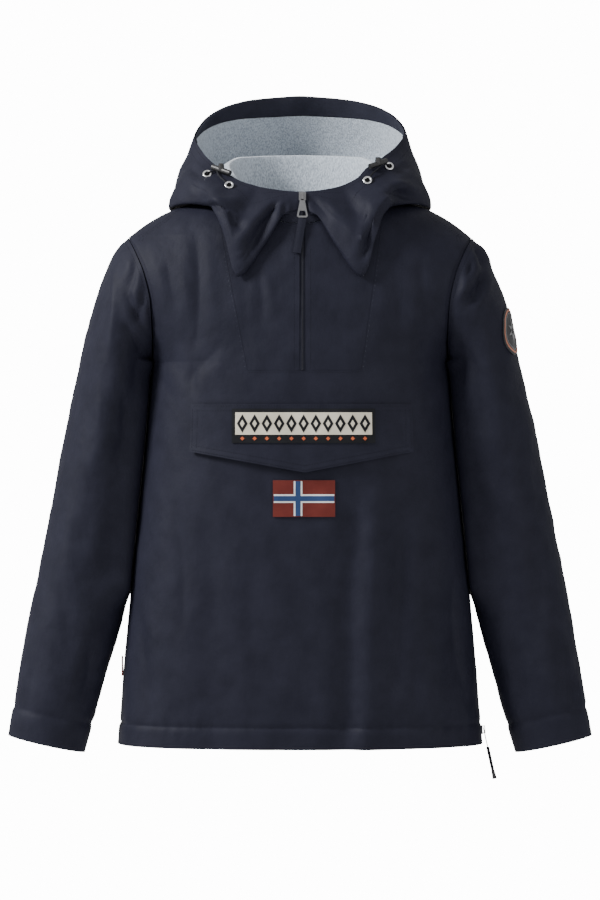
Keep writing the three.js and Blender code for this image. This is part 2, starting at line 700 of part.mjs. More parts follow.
function rectanglePlace(patch) {
  return (u, v) => [patch.x + (u - 0.5) * patch.width, patch.z + (v - 0.5) * patch.height];
}

function buildLaidPieces() {
  const flapPlace = (u, v) => {
    const x = lerp(FLAP.left, FLAP.right, u);
    return [x, lerp(flapBottom(x), FLAP.top, v)];
  };
  add('pocket_flap', laidOnFront(12, 4, flapPlace, flapLift, FLAP.thick), 'nylon');
  const onFlap = (z) => flapLift(z) + FLAP.thick + 2 * SEAM_GAP;
  const onFront = () => FLAG_PATCH.lift;
  add('chest_patch', laidOnFront(8, 2, rectanglePlace(CHEST_PATCH), onFlap, CHEST_PATCH.thick), 'cream');
  add('flag_patch', laidOnFront(4, 2, rectanglePlace(FLAG_PATCH), onFront, FLAG_PATCH.thick), 'flag');
}

// How far a surface moves for each unit of its first and of its second value, at a place.
function stretch(surface, a, b, stepA, stepB) {
  return [
    surface(a + stepA, b).distanceTo(surface(a - stepA, b)) / (2 * stepA),
    surface(a, b + stepB).distanceTo(surface(a, b - stepB)) / (2 * stepB),
  ];
}

// A round badge on the outside of the viewer's right sleeve.
function buildBadge() {
  const turn = radians(BADGE.turn);
  const [perShare, perTurn] = stretch(sleevePoint, BADGE.share, turn, 0.01, 0.01);
  const { cells } = BADGE;
  const grid = [];
  for (let r = 0; r <= cells; r += 1) {
    const v = (2 * r) / cells - 1;
    grid.push(Array.from({ length: cells + 1 }, (_, c) => {
      const u = (2 * c) / cells - 1;
      const across = u * Math.sqrt(1 - (v * v) / 2) * BADGE.radius;
      const down = v * Math.sqrt(1 - (u * u) / 2) * BADGE.radius;
      return sleevePoint(BADGE.share + down / perShare, turn + across / perTurn);
    }));
  }
  add('sleeve_badge', wall(grid, -BADGE.lift - BADGE.thick, -BADGE.lift), 'badge');
}

// The label folded into the viewer's left side seam, pointing out and back.
function buildLabel() {
  const geometry = new THREE.BoxGeometry(LABEL.thick, LABEL.reach, LABEL.height);
  geometry.translate(0, LABEL.reach / 2, 0);
  const mesh = add('side_label', geometry, 'label');
  mesh.position.set(-bodySide(LABEL.z) - LABEL.lift, 0, LABEL.z);
  mesh.rotation.z = radians(LABEL.turn);
}

// A zip's strip of tape and teeth, in the slot between two panels.
function zipStrip(name, spine, across) {
  const edge = (p, side) => p.clone().addScaledVector(across, (side * STRIP.width) / 2);
  const grid = spine.map((p) => [edge(p, -1), edge(p, 1)]);
  add(name, wall(grid, STRIP.near, STRIP.far), 'plastic');
}

function buildZipStrips() {
  const spine = [];
  for (let z = ZIP_FOOT_Z + SEAM_GAP; z < SHOULDER_Z; z += STRIP.spacing) {
    spine.push(point(ZIP_X, bodyFront(z), z));
  }
  YOKE.filter((row) => row.share < 0.75).forEach((row) => spine.push(point(ZIP_X, row.front, row.frontZ)));
  [0, 0.2, 0.5, 0.76, 1].forEach((v) => spine.push(hoodPoint(0, v).setX(ZIP_X)));
  zipStrip('zip_strip', spine, point(1, 0, 0));
  const side = [];
  const steps = 8;
  for (let i = 0; i <= steps; i += 1) {
    const z = lerp(HEM_Z, SIDE_ZIP_TOP_Z - SEAM_GAP, i / steps);
    side.push(point(bodySide(z), 0, z));
  }
  zipStrip('side_zip_strip', side, point(0, 1, 0));
}

// A box in the frame of a slider: x across, out in front of the cloth, z along the zip.
function sliderBox(halfWidth, outFrom, outTo, low, high) {
  return solid(box(point(-halfWidth, -outTo, low), point(halfWidth, -outFrom, high)));
}

const plateOut = SLIDER.off + SLIDER.plate;
const rodOut = plateOut + BRIDGE.reach / 2 - BRIDGE.bar / 2;
const rodZ = SLIDER.high - 1.5 - BRIDGE.above;

// A slider's plate, its stem in the zip's slot and the bridge that holds the tab.
function sliderGeometry() {
  const half = SLIDER.width / 2;
  const bridge = BRIDGE.width / 2;
  const out = plateOut + BRIDGE.reach;
  return geometryOf(sliderBox(half, SLIDER.off, plateOut, SLIDER.low, SLIDER.high)
    .add(sliderBox(SLIDER.stem / 2, -STRIP.near + 0.3, plateOut, SLIDER.low + 1, SLIDER.high - 1))
    .add(sliderBox(bridge, plateOut - 1, out, rodZ - BRIDGE.below, rodZ - BRIDGE.below + BRIDGE.bar))
    .add(sliderBox(bridge, plateOut - 1, out, rodZ + BRIDGE.above, rodZ + BRIDGE.above + BRIDGE.bar))
    .add(sliderBox(bridge, out - BRIDGE.bar, out, rodZ - BRIDGE.below, rodZ + BRIDGE.above + BRIDGE.bar)));
}

function shapeOf(corners) {
  return new THREE.Shape(corners.map(([x, y]) => new THREE.Vector2(x, y)));
}

// A pull tab that hangs on the slider's bridge by its rod, with a window in its wide end.
function tabGeometry(pull) {
  const half = pull.width / 2;
  const neck = TAB.neck / 2;
  const foot = -pull.length;
  const outline = shapeOf([
    [-neck, ROD / 2], [neck, ROD / 2], [neck, -TAB.flare], [half, foot + TAB.corner],
    [half - TAB.corner, foot], [-half + TAB.corner, foot], [-half, foot + TAB.corner], [-neck, -TAB.flare],
  ]);
  const inner = neck - TAB.wall;
  outline.holes.push(shapeOf([
    [-inner, -ROD / 2], [-inner, -TAB.ring], [inner, -TAB.ring], [inner, -ROD / 2],
  ]));
  const edge = half - WINDOW.rim;
  const top = edge * WINDOW.narrow;
  outline.holes.push(shapeOf([
    [-edge, foot + WINDOW.rim], [edge, foot + WINDOW.rim], [top, foot + WINDOW.height], [-top, foot + WINDOW.height],
  ]));
  const geometry = new THREE.ExtrudeGeometry(outline, { depth: TAB.thick, bevelEnabled: false });
  geometry.rotateX(Math.PI / 2);
  return geometry.translate(0, TAB.thick / 2, 0);
}

// Places a piece of a slider: out of the cloth by turn, leaning with the cloth by lean.
function placed(name, geometry, colour, pull, at, turn) {
  const mesh = add(name, geometry, colour);
  mesh.rotation.order = 'ZXY';
  mesh.rotation.set(-radians(pull.lean), 0, radians(turn));
  mesh.position.copy(at);
}

// The same for a piece drawn below the bridge's rod, which hangs a little out from the cloth.
function hung(name, geometry, colour, pull, at, turn) {
  geometry.rotateX(-radians(pull.hang)).translate(0, -rodOut, rodZ);
  placed(name, geometry, colour, pull, at, turn);
}

function buildSliders() {
  const frontAt = point(ZIP_X, FRONT_PULL.y, FRONT_PULL.z);
  const sideAt = point(bodySide(SIDE_PULL.z), 0, SIDE_PULL.z);
  placed('zip_slider', sliderGeometry(), 'metal', FRONT_PULL, frontAt, 0);
  hung('zip_tab', tabGeometry(FRONT_PULL), 'metal', FRONT_PULL, frontAt, 0);
  const tagTop = -FRONT_PULL.length - TAG.drop;
  const tag = new THREE.BoxGeometry(TAG.width, TAG.thick, TAG.length);
  tag.translate(0, 0, -TAG.length / 2).rotateY(radians(TAG.sway)).translate(0, 0, tagTop);
  hung('zip_tag', tag, 'nylon', FRONT_PULL, frontAt, 0);
  placed('side_slider', sliderGeometry(), 'metal', SIDE_PULL, sideAt, 90);
  hung('side_tab', tabGeometry(SIDE_PULL), 'metal', SIDE_PULL, sideAt, 90);
  const cordTop = -SIDE_PULL.length - SEAM_GAP;
  const cord = new THREE.CylinderGeometry(PULL_CORD.radius, PULL_CORD.radius, PULL_CORD.length, 8);
  cord.rotateX(Math.PI / 2).translate(0, 0, cordTop - PULL_CORD.length / 2);
  hung('side_pull_cord', cord, 'elastic', SIDE_PULL, sideAt, 90);
  const endTop = cordTop - PULL_CORD.length - SEAM_GAP;
  const end = new THREE.CylinderGeometry(PULL_CORD.radius, PULL_CORD.endRadius, PULL_CORD.endLength, 10);
  end.rotateX(Math.PI / 2).translate(0, 0, endTop - PULL_CORD.endLength / 2);
  hung('side_pull_end', end, 'plastic', SIDE_PULL, sideAt, 90);
}

// A place over the hood's cloth, at a lift along its normal.
function overHood(angle, v, lift) {
  return hoodPoint(angle, v).addScaledVector(hoodNormal(angle, v), lift);
}

// A flat ring that follows the hood's cloth around an eyelet's hole.
function eyeletGeometry(angle, v, lift) {
  const [perAngle, perV] = stretch(hoodPoint, angle, v, 1, 0.01);
  const { sides } = EYELET;
  const places = [EYELET.outer, EYELET.inner].map((radius) => Array.from({ length: sides }, (_, i) => {
    const turn = (2 * Math.PI * i) / sides;
    return [angle + (radius * Math.cos(turn)) / perAngle, v + (radius * Math.sin(turn)) / perV];
  }));
  const grid = places.map((row) => row.map(([a, b]) => hoodPoint(a, b)));
  const normals = places.map((row) => row.map(([a, b]) => hoodNormal(a, b)));
  return wall(grid, -lift - EYELET.thick, -lift, { ringed: true, normals });
}

// A short round cord from one place to another.
function cordGeometry(points, radius) {
  const section = new THREE.Shape();
  section.absarc(0, 0, radius, 0, 2 * Math.PI);
  return new THREE.ExtrudeGeometry(section, {
    steps: 7, curveSegments: 5, bevelEnabled: false, extrudePath: new THREE.CatmullRomCurve3(points),
  });
}

function buildHoodCords() {
  const up = point(0, 1, 0);
  HOOD_CORDS.forEach((row) => {
    const ends = [
      ['outer', row.outerAngle, row.outerV, row.outerLift],
      ['inner', row.innerAngle, row.innerV, row.innerLift],
    ];
    const outerEnd = overHood(row.lockOuter, row.lockOuterV, LOCK.lift);
    const innerEnd = overHood(row.lockInner, row.lockInnerV, LOCK.lift);
    const along = innerEnd.clone().sub(outerEnd);
    const middle = outerEnd.clone().add(innerEnd).multiplyScalar(0.5);
    const bar = new THREE.CylinderGeometry(LOCK.radius, LOCK.radius, along.length(), 12);
    bar.applyQuaternion(new THREE.Quaternion().setFromUnitVectors(up, along.clone().normalize()));
    const knob = new THREE.CylinderGeometry(LOCK.knobTop, LOCK.knob, LOCK.knobHeight, 12);
    knob.translate(0, LOCK.knobHeight / 2, 0).rotateX(Math.PI / 2 + radians(LOCK.lean));
    const lock = geometryOf(solid(bar).add(solid(knob)));
    add(`cord_lock_${row.side}`, lock.translate(middle.x, middle.y, middle.z), 'plastic');
    ends.forEach(([name, angle, v, lift], i) => {
      add(`eyelet_${row.side}_${name}`, eyeletGeometry(angle, v, lift), 'metal');
      const lockEnd = i === 0 ? outerEnd : innerEnd;
      const way = along.clone().normalize().multiplyScalar(i === 0 ? -1 : 1);
      const cord = [
        overHood(angle, v, lift + ELASTIC.start),
        overHood(angle, v, lift + ELASTIC.arch),
        lockEnd.clone().addScaledVector(way, ELASTIC.lead),
        lockEnd.clone().addScaledVector(way, SEAM_GAP),
      ];
      add(`elastic_${row.side}_${name}`, cordGeometry(cord, ELASTIC.radius), 'elastic');
    });
  });
}

buildBody();
buildHood();
buildLaidPieces();
buildBadge();
buildLabel();
buildZipStrips();
buildSliders();
buildHoodCords();

export default anorak;
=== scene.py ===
# Looks of the hooded pullover anorak: nylon cloth with creases and sewing, fleece lining, zips,
# patches, eyelets and cords. Sizes are in millimetres, and become metres where a mesh is made.
import math

import bmesh
import bpy
import numpy as np
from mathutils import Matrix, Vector, noise


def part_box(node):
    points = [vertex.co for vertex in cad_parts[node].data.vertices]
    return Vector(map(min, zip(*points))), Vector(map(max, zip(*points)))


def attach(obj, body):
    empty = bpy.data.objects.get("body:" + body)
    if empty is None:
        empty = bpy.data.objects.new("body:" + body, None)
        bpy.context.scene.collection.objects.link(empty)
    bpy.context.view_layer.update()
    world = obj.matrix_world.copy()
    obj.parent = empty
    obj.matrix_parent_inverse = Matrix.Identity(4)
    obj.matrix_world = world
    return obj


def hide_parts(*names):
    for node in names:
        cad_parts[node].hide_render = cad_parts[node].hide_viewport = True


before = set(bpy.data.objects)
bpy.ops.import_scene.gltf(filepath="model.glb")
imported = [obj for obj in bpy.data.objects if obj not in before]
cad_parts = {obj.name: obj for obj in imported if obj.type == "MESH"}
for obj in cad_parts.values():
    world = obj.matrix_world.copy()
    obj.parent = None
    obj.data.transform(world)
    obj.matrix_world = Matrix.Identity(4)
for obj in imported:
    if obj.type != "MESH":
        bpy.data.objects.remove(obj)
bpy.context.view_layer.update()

MM = 0.001

# The photo's view
CAMERA_DISTANCE = 4.0
CAMERA_HEIGHT = -0.312
VIEW_HEIGHT = 1.17
SENSOR = 36.0


def placed(name, data):
    """A new object in the scene."""
    obj = bpy.data.objects.new(name, data)
    bpy.context.scene.collection.objects.link(obj)
    return obj


def make_camera():
    data = bpy.data.cameras.new("camera")
    data.sensor_width = SENSOR
    data.lens = SENSOR * CAMERA_DISTANCE / VIEW_HEIGHT
    camera = placed("camera", data)
    camera.location = (0, -CAMERA_DISTANCE, CAMERA_HEIGHT)
    camera.rotation_euler = (math.pi / 2, 0, 0)
    bpy.context.scene.camera = camera


make_camera()

# Cloth
SEAM_GAP = 0.3
CLOTH = 1.3
FLEECE = 1.2
HEM_Z = -692
ARMPIT_Z = -200
SHOULDER_Z = -38
ARMHOLE_FRONT = 82
ARMHOLE_BACK = 88
SHOULDER_SEAM_Y = -20
NECK_Y = -14
NECK_FRONT_Z = -25
NECK_SIDE_Z = 15
NECK_BACK_Z = 2
HEM_FOLD = 27
HEM_LEVEL = HEM_FOLD / (ARMPIT_Z - HEM_Z)
HEM_ROW_GAP = 0.003
CUFF_SHARE = 0.958
SEAM_DIP = 2.6
ARMHOLE_DIP = 2.0
FOLDED_RISE = 0.8
HEM_TUCK = 1.7
HEM_PUCKER = 0.4
CUFF_TUCK = 1.6

# Zips and the insert panels
ZIP_X = 3
ZIP_SLOT = 7
ZIP_FOOT_Z = -212
INSERT_LEFT_FOOT = -66
INSERT_RIGHT_FOOT = 77
INSERT_LEFT_LEAN = -0.19
INSERT_RIGHT_LEAN = 0.14
SIDE_ZIP_TOP_Z = -330
SIDE_ZIP_SLOT = 7

# Flap, patches, badge and label
FLAP = dict(left=-137, right=140, top=-254, side=-314, tip=-340, tip_x=6)
FLAP_LIFT = dict(top=1.0, tip=4.4)
CHEST_PATCH = dict(x=4.5, z=-281.5, width=178, height=43)
FLAG_PATCH = dict(x=5, z=-373, width=78, height=46)
BADGE = dict(share=0.231, turn=31, radius=30)
LABEL = dict(z=-593, height=26, reach=13, turn=8, lift=1.9)


def table(columns, *rows):
    """A table with named columns: one dict for each row."""
    return [dict(zip(columns, row)) for row in rows]


def hermite(at, value, x, flat_ends=False):
    """A smooth curve through values, which may each be an array, at the places at."""
    at = np.asarray(at, float)
    value = np.asarray(value, float)
    span = np.diff(at).reshape((-1,) + (1,) * (value.ndim - 1))
    rise = np.diff(value, axis=0) / span
    slope = np.zeros_like(value)
    product = rise[:-1] * rise[1:]
    total = rise[:-1] + rise[1:]
    slope[1:-1] = np.where(product > 0, 2 * product / np.where(product > 0, total, 1), 0)
    if not flat_ends:
        slope[0] = rise[0]
        slope[-1] = rise[-1]
    x = np.clip(x, at[0], at[-1])
    i = np.clip(np.searchsorted(at, x, side="right") - 1, 0, len(at) - 2)
    if value.ndim == 1:
        v0, v1, s0, s1 = value[i], value[i + 1], slope[i], slope[i + 1]
    else:
        pick = lambda rows, index: np.take_along_axis(rows, index[None], axis=0)[0]
        v0, v1, s0, s1 = pick(value, i), pick(value, i + 1), pick(slope, i), pick(slope, i + 1)
    width = at[i + 1] - at[i]
    s = (x - at[i]) / width
    rest = 1 - s
    return (v0 * (1 + 2 * s) * rest ** 2 + s0 * width * s * rest ** 2
            + v1 * s * s * (3 - 2 * s) - s1 * width * s * s * rest)


def through(rows, key, column, flat_ends=False):
    """The smooth curve through one column of a table."""
    at = [row[key] for row in rows]
    value = [row[column] for row in rows]
    return lambda x: hermite(at, value, x, flat_ends)


def smooth(x, low, high):
    s = np.clip((x - low) / (high - low), 0, 1)
    return s * s * (3 - 2 * s)


def lerp(a, b, s):
    return a + (b - a) * s


def stack(x, y, z):
    return np.stack(np.broadcast_arrays(x, y, z), axis=-1).astype(float)


def arrays(*values):
    return np.broadcast_arrays(*(np.asarray(value, float) for value in values))


def unit(v):
    return v / np.maximum(np.linalg.norm(v, axis=-1, keepdims=True), 1e-12)


# The body's sections, from the hem to the top of the armholes
BODY = table(
    ("z", "side", "front", "back", "squareness"),
    (HEM_Z, 236, -105, 104, 2.5),
    (-600, 229, -113, 109, 2.5),
    (-476, 218, -122, 114, 2.5),
    (-377, 208, -128, 119, 2.5),
    (-300, 200, -131, 125, 2.5),
    (ARMPIT_Z, 192, -133, 134, 2.4),
    (-170, 189, -131, 137, 2.3),
    (-130, 190, -127, 138, 2.25),
    (-90, 198, -120, 133, 2.2),
    (-60, 210, -114, 122, 2.15),
    (SHOULDER_Z, 222, -108, 108, 2.1),
)

# The shoulders, from the top of the armholes to the neckline
YOKE = table(
    ("share", "side", "side_z", "front", "front_z", "back", "back_z"),
    (0, 222, SHOULDER_Z, -108, SHOULDER_Z, 108, SHOULDER_Z),
    (0.25, 194, -17, -107.3, -34.5, 101, -26),
    (0.5, 160, 0, -106.6, -31, 92, -14),
    (0.75, 124, 9.5, -105.8, -28, 82, -4.5),
    (1, 90, NECK_SIDE_Z, -105, NECK_FRONT_Z, 72, NECK_BACK_Z),
)

# The sleeve's rings: the outer and inner edge seen from the front, the depth and the middle's y
SLEEVE = table(
    ("share", "outer_x", "outer_z", "inner_x", "inner_z", "depth", "middle"),
    (0, 222, SHOULDER_Z, 192, ARMPIT_Z, 170, 0),
    (0.04, 237, -52, 195, -205, 174, 0),
    (0.1, 251, -79, 199, -213, 176, 0),
    (0.17, 265, -116, 198.5, -228, 173, 0),
    (0.24, 276, -159, 198.2, -250, 168, 0),
    (0.34, 291, -221, 200.6, -290, 157, 1),
    (0.43, 303, -275, 204.2, -328, 149, 2),
    (0.52, 315.5, -336, 209.4, -376, 141, 3),
    (0.61, 327, -396, 215, -430, 134, 3),
    (0.7, 338, -453, 220.6, -484, 126, 1),
    (0.79, 349, -511, 232.5, -540, 114, -2),
    (0.88, 360, -574, 250.5, -601, 98, -6),
    (0.94, 368.5, -628, 265, -652, 84, -9),
    (1, 377.5, -681, 279.5, -703, 66, -12),
)
SEWN_SHARE = 0.16

# The hood's profile at each angle from the centre front
HOOD = table(
    ("angle", "stand_r", "stand_z", "hang_r", "hang_z", "swell_r", "swell_z", "rim_r", "rim_z", "fold", "lift"),
    (0, 90.3, -18, 88, -8, 85.5, 3, 82, 16, 0, 0),
    (12, 90, -14, 95, -14, 93, -2, 82, 17, 1.2, 0),
    (24, 90, -3, 113, -54, 115, -24, 84, 19.5, 4, 0),
    (36, 92, 4, 134, -94, 139, -50, 88, 23, 6, 1),
    (42, 93, 9, 138, -46, 143, -14, 91, 26, 6.5, 2),
    (50, 93, 16, 138, -13, 144, 7, 95, 30, 7, 5),
    (60, 93, 26, 134, -2, 142, 18, 100, 38, 7, 12),
    (75, 93, 42, 153, 3, 149, 30, 112, 54, 4, 12),
    (90, 93, 55, 167, 0.5, 156, 42, 127, 75, 4, 9),
    (105, 92, 63, 170, -2.5, 161, 52, 142.5, 102, 4, 6),
    (120, 91, 69, 163, -7, 165, 60, 143, 126, 5, 3),
    (135, 90, 71.5, 156.5, -12.5, 168, 63, 137.5, 144.5, 6, 1),
    (150, 89, 74, 154, -18, 170, 64, 131, 154.5, 6, 0),
    (165, 88.5, 75.2, 153.5, -20, 171, 64, 125, 158.7, 6, 0),
    (180, 88, 76, 153, -22, 172, 64, 119, 160.5, 6, 0),
)
HOOD_STATIONS = (0, 0.2, 0.33, 0.46, 0.5, 0.54, 0.76, 1)
STAND_V = HOOD_STATIONS[1]
FOLD_V = HOOD_STATIONS[4]
FOLD_RISE = 0.75
FACING_V = 0.94
FACING_FROM = 98
FACING_GAP = 0.003
HOOD_SHELL = 1.2
LINING_GAP = 0.5
PLAIN_FOLLOW = 0.12
PLAIN_CLEAR = 2.8
ZIP_EASE = 8
HOOD_CREASING = 1.3
SLEEVE_CREASING = 1.4
SLEEVE_WEAR = 1.35
HOOD_WEAR = 0.7
LINING_DRAW = 8
BACK_WEAR_Y = 400
CUT_EASE = 1.003


def fold_table(*rows):
    """Large folds: bands that run down from a place, out or in."""
    return table(("x", "lean", "top", "bottom", "width", "depth"), *rows)


def crease_table(*rows):
    """Creases: a trough from one place to another, with a soft ridge along each side."""
    return table(("x0", "z0", "x1", "z1", "width", "depth"), *rows)


# The panels' folds and creases, as seen from the front
FRONT_FOLDS = fold_table(
    (68, 0.02, -345, -700, 17, -7),
    (96, 0.04, -330, -720, 16, 5),
    (128, 0.02, -345, -640, 15, -6),
    (176, -0.1, -430, -700, 20, -5),
    (-120, -0.05, -380, -700, 26, -4),
)
BACK_FOLDS = fold_table(
    (-95, 0.05, -300, -720, 22, -6),
    (40, -0.04, -380, -730, 20, -5),
    (140, -0.06, -260, -690, 24, -6),
)

FRONT_CREASES = crease_table(
    (-133, -30, -136, -215, 9, 2.6),
    (-136, -200, -139, -262, 7, 2.0),
    (-161, -370, -158, -585, 13, 2.6),
    (-55, -80, -48, -156, 6, 1.6),
    (196, -465, 226, -672, 12, 3.0),
    (-186, -205, -118, -300, 10, 2.4),
    (-184, -235, -140, -345, 9, 1.8),
    (188, -205, 130, -262, 10, 2.2),
    (190, -240, 158, -352, 9, 2.0),
    (112, -70, 128, -190, 11, 1.8),
    (-95, -175, -150, -235, 10, 1.6),
    (150, -70, 168, -150, 9, 1.8),
    (-170, -70, -150, -150, 9, 1.8),
    (40, -420, 52, -560, 14, 1.5),
    (-60, -430, -48, -640, 18, 1.7),
    (10, -560, 2, -690, 13, 1.4),
    (-210, -500, -188, -690, 12, 2.2),
    (150, -540, 160, -690, 12, 2.0),
)
BACK_CREASES = crease_table(
    (-186, -205, -110, -310, 12, 2.6),
    (-184, -240, -130, -400, 11, 2.2),
    (188, -205, 104, -300, 12, 2.6),
    (190, -245, 140, -420, 11, 2.2),
    (-60, -40, -82, -190, 12, 1.8),
    (66, -40, 90, -180, 12, 1.8),
    (0, -120, 6, -330, 16, 1.6),
    (-20, -400, -34, -640, 16, 2.0),
    (196, -465, 222, -672, 12, 2.6),
    (-206, -480, -190, -690, 12, 2.2),
    (84, -470, 92, -690, 13, 1.8),
)

# The sleeves' front halves, as seen from the front
SLEEVE_FRONT = {
    1: crease_table(
        (222, -46, 238, -84, 5, 4.4),
        (238, -78, 208, -134, 6.5, 4.6),
        (202, -66, 194, -124, 6, 3.6),
        (219, -70, 207, -94, 4, 1.8),
        (262, -100, 258, -240, 12, -2.0),
        (214, -180, 232, -300, 11, 2.4),
        (282, -250, 262, -380, 13, 1.8),
        (232, -390, 262, -480, 11, 2.0),
        (318, -430, 300, -560, 13, 1.6),
        (262, -520, 292, -640, 10, 1.8),
        (350, -612, 363, -655, 6, 2.2),
        (330, -560, 344, -640, 9, 1.4),
    ),
    -1: crease_table(
        (-240, -70, -247, -210, 9, -3.2),
        (-203, -56, -222, -118, 5, 2.6),
        (-221, -110, -190, -168, 6, 3.0),
        (-192, -98, -212, -160, 6, 2.4),
        (-224, -150, -196, -205, 7, 2.4),
        (-258, -220, -272, -360, 14, -1.8),
        (-226, -230, -238, -360, 12, 2.4),
        (-286, -380, -300, -520, 13, -1.6),
        (-236, -400, -262, -500, 12, 2.0),
        (-312, -470, -296, -580, 12, 1.6),
        (-268, -540, -288, -650, 9, 1.8),
        (-342, -580, -352, -660, 10, 1.6),
    ),
}

# Their back halves: millimetres of girth from the outer edge, and millimetres down
SLEEVE_CREASES = crease_table(
    (250, 60, 300, 170, 12, 2.4),
    (360, 40, 300, 110, 11, 2.4),
    (260, 180, 340, 260, 13, 2.6),
    (400, 240, 300, 330, 12, 2.4),
    (270, 350, 370, 430, 12, 2.4),
    (390, 400, 330, 520, 12, 2.2),
    (280, 470, 340, 600, 12, 2.2),
)
SLEEVE_LENGTH = 655
SLEEVE_GIRTH = 1.25
SLEEVE_SEED = {1: 21, -1: 31}
SLEEVE_SHIFT = {1: 0, -1: 26}
SLEEVE_WEAR_X = 500

# On the hood's front, as seen from the front
HOOD_FRONT = crease_table(
    (-126, -4, -66, -12, 5, 4.0),
    (-108, -11, -62, -44, 4.5, 2.4),
    (-27, 6, -66, -70, 8, 7.4),
    (-29, 6, -37, -26, 4, 2.4),
    (-18, 2, -30, -28, 4, 2.2),
    (-72, -45, -58, -50, 3.4, 1.6),
    (-74, -56, -60, -60, 3.4, 1.5),
    (-76, -67, -64, -70, 3.4, 1.2),
    (-143, 56, -122, 32, 6, 2.2),
    (-141, 33, -107, 8, 6, 2.2),
    (-85, 36, -100, 4, 7, 1.8),
    (-50, 16, -58, -8, 5, 1.6),
    (129, 64, 148, 74, 4, 2.0),
    (126, 50, 146, 62, 4, 2.2),
    (117, 40, 146, 54, 4.5, 2.0),
    (104, 16, 150, 6, 7, 4.4),
    (112, 26, 156, 10, 5, 2.4),
    (70, -8, 94, -17, 4.5, 3.4),
    (92, -20, 76, -80, 6.5, 6.2),
    (74, -30, 66, -66, 6, 2.2),
    (12, 11, 40, -26, 6, 2.2),
    (28, 4, 52, -20, 5, 1.2),
    (56, 8, 74, -6, 6, 1.6),
)

# On its sides and back: degrees round the neck and hundredths of the way to the rim
HOOD_CREASES = crease_table(
    (100, 56, 92, 84, 5, 2.2),
    (112, 60, 104, 92, 4, 1.8),
    (260, 56, 268, 84, 5, 2.2),
    (248, 60, 256, 92, 4, 1.8),
    (130, 54, 122, 90, 6, 2.4),
    (160, 54, 168, 88, 6, 2.2),
    (178, 54, 180, 74, 4, 1.8),
    (200, 54, 193, 86, 6, 2.2),
    (232, 54, 240, 88, 6, 2.4),
)

body_side = through(BODY, "z", "side")
body_front = through(BODY, "z", "front")
body_back = through(BODY, "z", "back")
body_squareness = through(BODY, "z", "squareness")


def fold_depth(folds, x, z):
    """How far the largest folds move the cloth out at a place seen from the front."""
    total = 0
    for fold in folds:
        across = (x - fold["x"] - fold["lean"] * (z - fold["top"])) / fold["width"]
        fade = smooth(fold["top"] - z, 0, 90) * smooth(z - fold["bottom"], -30, 60)
        total = total + fold["depth"] * np.exp(-across * across) * fade
    return total


def crease_depth(creases, x, z):
    """How far the creases move the cloth in or out at a place."""
    total = 0
    for crease in creases:
        start = np.array([crease["x0"], crease["z0"]], float)
        way = np.array([crease["x1"], crease["z1"]], float) - start
        length = np.linalg.norm(way)
        way = way / length
        along = ((x - start[0]) * way[0] + (z - start[1]) * way[1]) / length
        bend = 0.12 * length * np.sin(np.pi * np.clip(along, 0, 1)) * np.sin(start[0] * 0.7 + start[1])
        across = (x - start[0]) * -way[1] + (z - start[1]) * way[0] - bend * 0.5
        wide = crease["width"] * (0.75 + 0.5 * np.clip(along, 0, 1))
        s = across / wide
        fade = smooth(along, -0.05, 0.3) * smooth(1.05 - along, 0, 0.45)
        middle = np.exp(-1.5 * (np.sqrt(s * s + 0.03) - 0.17))
        trough = middle - 0.5 * np.exp(-(s - 1.8) ** 2) - 0.38 * np.exp(-(s + 1.9) ** 2)
        total = total - crease["depth"] * fade * trough
    return total


def rumple(points, scale, stretch, seed):
    """Soft uneven noise over points, between about -1 and 1, drawn out along Z by stretch."""
    flat = points.reshape(-1, 3) / scale
    flat[:, 2] /= stretch
    shift = Vector((seed * 7.3, seed * 3.1, seed * 5.7))
    values = [noise.noise(Vector(p) + shift) for p in flat]
    return np.array(values).reshape(points.shape[:-1])


def wear(points, seed):
    """The small rumples that lie all over the nylon."""
    broad = rumple(points, 62, 1.9, seed)
    middle = rumple(points, 24, 1.7, seed + 1)
    fine = rumple(points, 9.5, 1.2, seed + 2)
    return 1.7 * broad + 0.85 * middle + 0.38 * fine * (1 + middle)


def body_section(face, level):
    """The edge, middle and heights of the body's section at each level (arrays)."""
    front = face == "front"
    level = np.asarray(level, float)
    low_z = lerp(HEM_Z, ARMPIT_Z, np.clip(level, 0, 1))
    up = (1 + np.cos(np.pi * (2 - np.clip(level, 1, 2)))) / 2
    z = np.where(level <= 1, low_z, lerp(ARMPIT_Z, SHOULDER_Z, up))
    bulge = np.sin(np.pi * (2 - np.clip(level, 1, 2))) * (-ARMHOLE_FRONT if front else ARMHOLE_BACK)
    share = np.clip(level - 2, 0, 1)
    in_yoke = level > 2
    read = lambda column: through(YOKE, "share", column)(share)
    below_yoke = np.where(level <= 1, 0, SHOULDER_SEAM_Y * up)
    seam_y = np.where(in_yoke, lerp(SHOULDER_SEAM_Y, NECK_Y, share), below_yoke)
    return dict(
        edge_x=np.where(in_yoke, read("side"), body_side(z)),
        edge_y=seam_y + np.where(in_yoke | (level <= 1), 0, bulge),
        seam_y=seam_y,
        edge_z=np.where(in_yoke, read("side_z"), z),
        middle_z=np.where(in_yoke, read("front_z" if front else "back_z"), z),
        middle_y=np.where(in_yoke, read("front" if front else "back"), (body_front if front else body_back)(z)),
        squareness=np.where(in_yoke, lerp(body_squareness(SHOULDER_Z), 2, share), body_squareness(z)),
    )


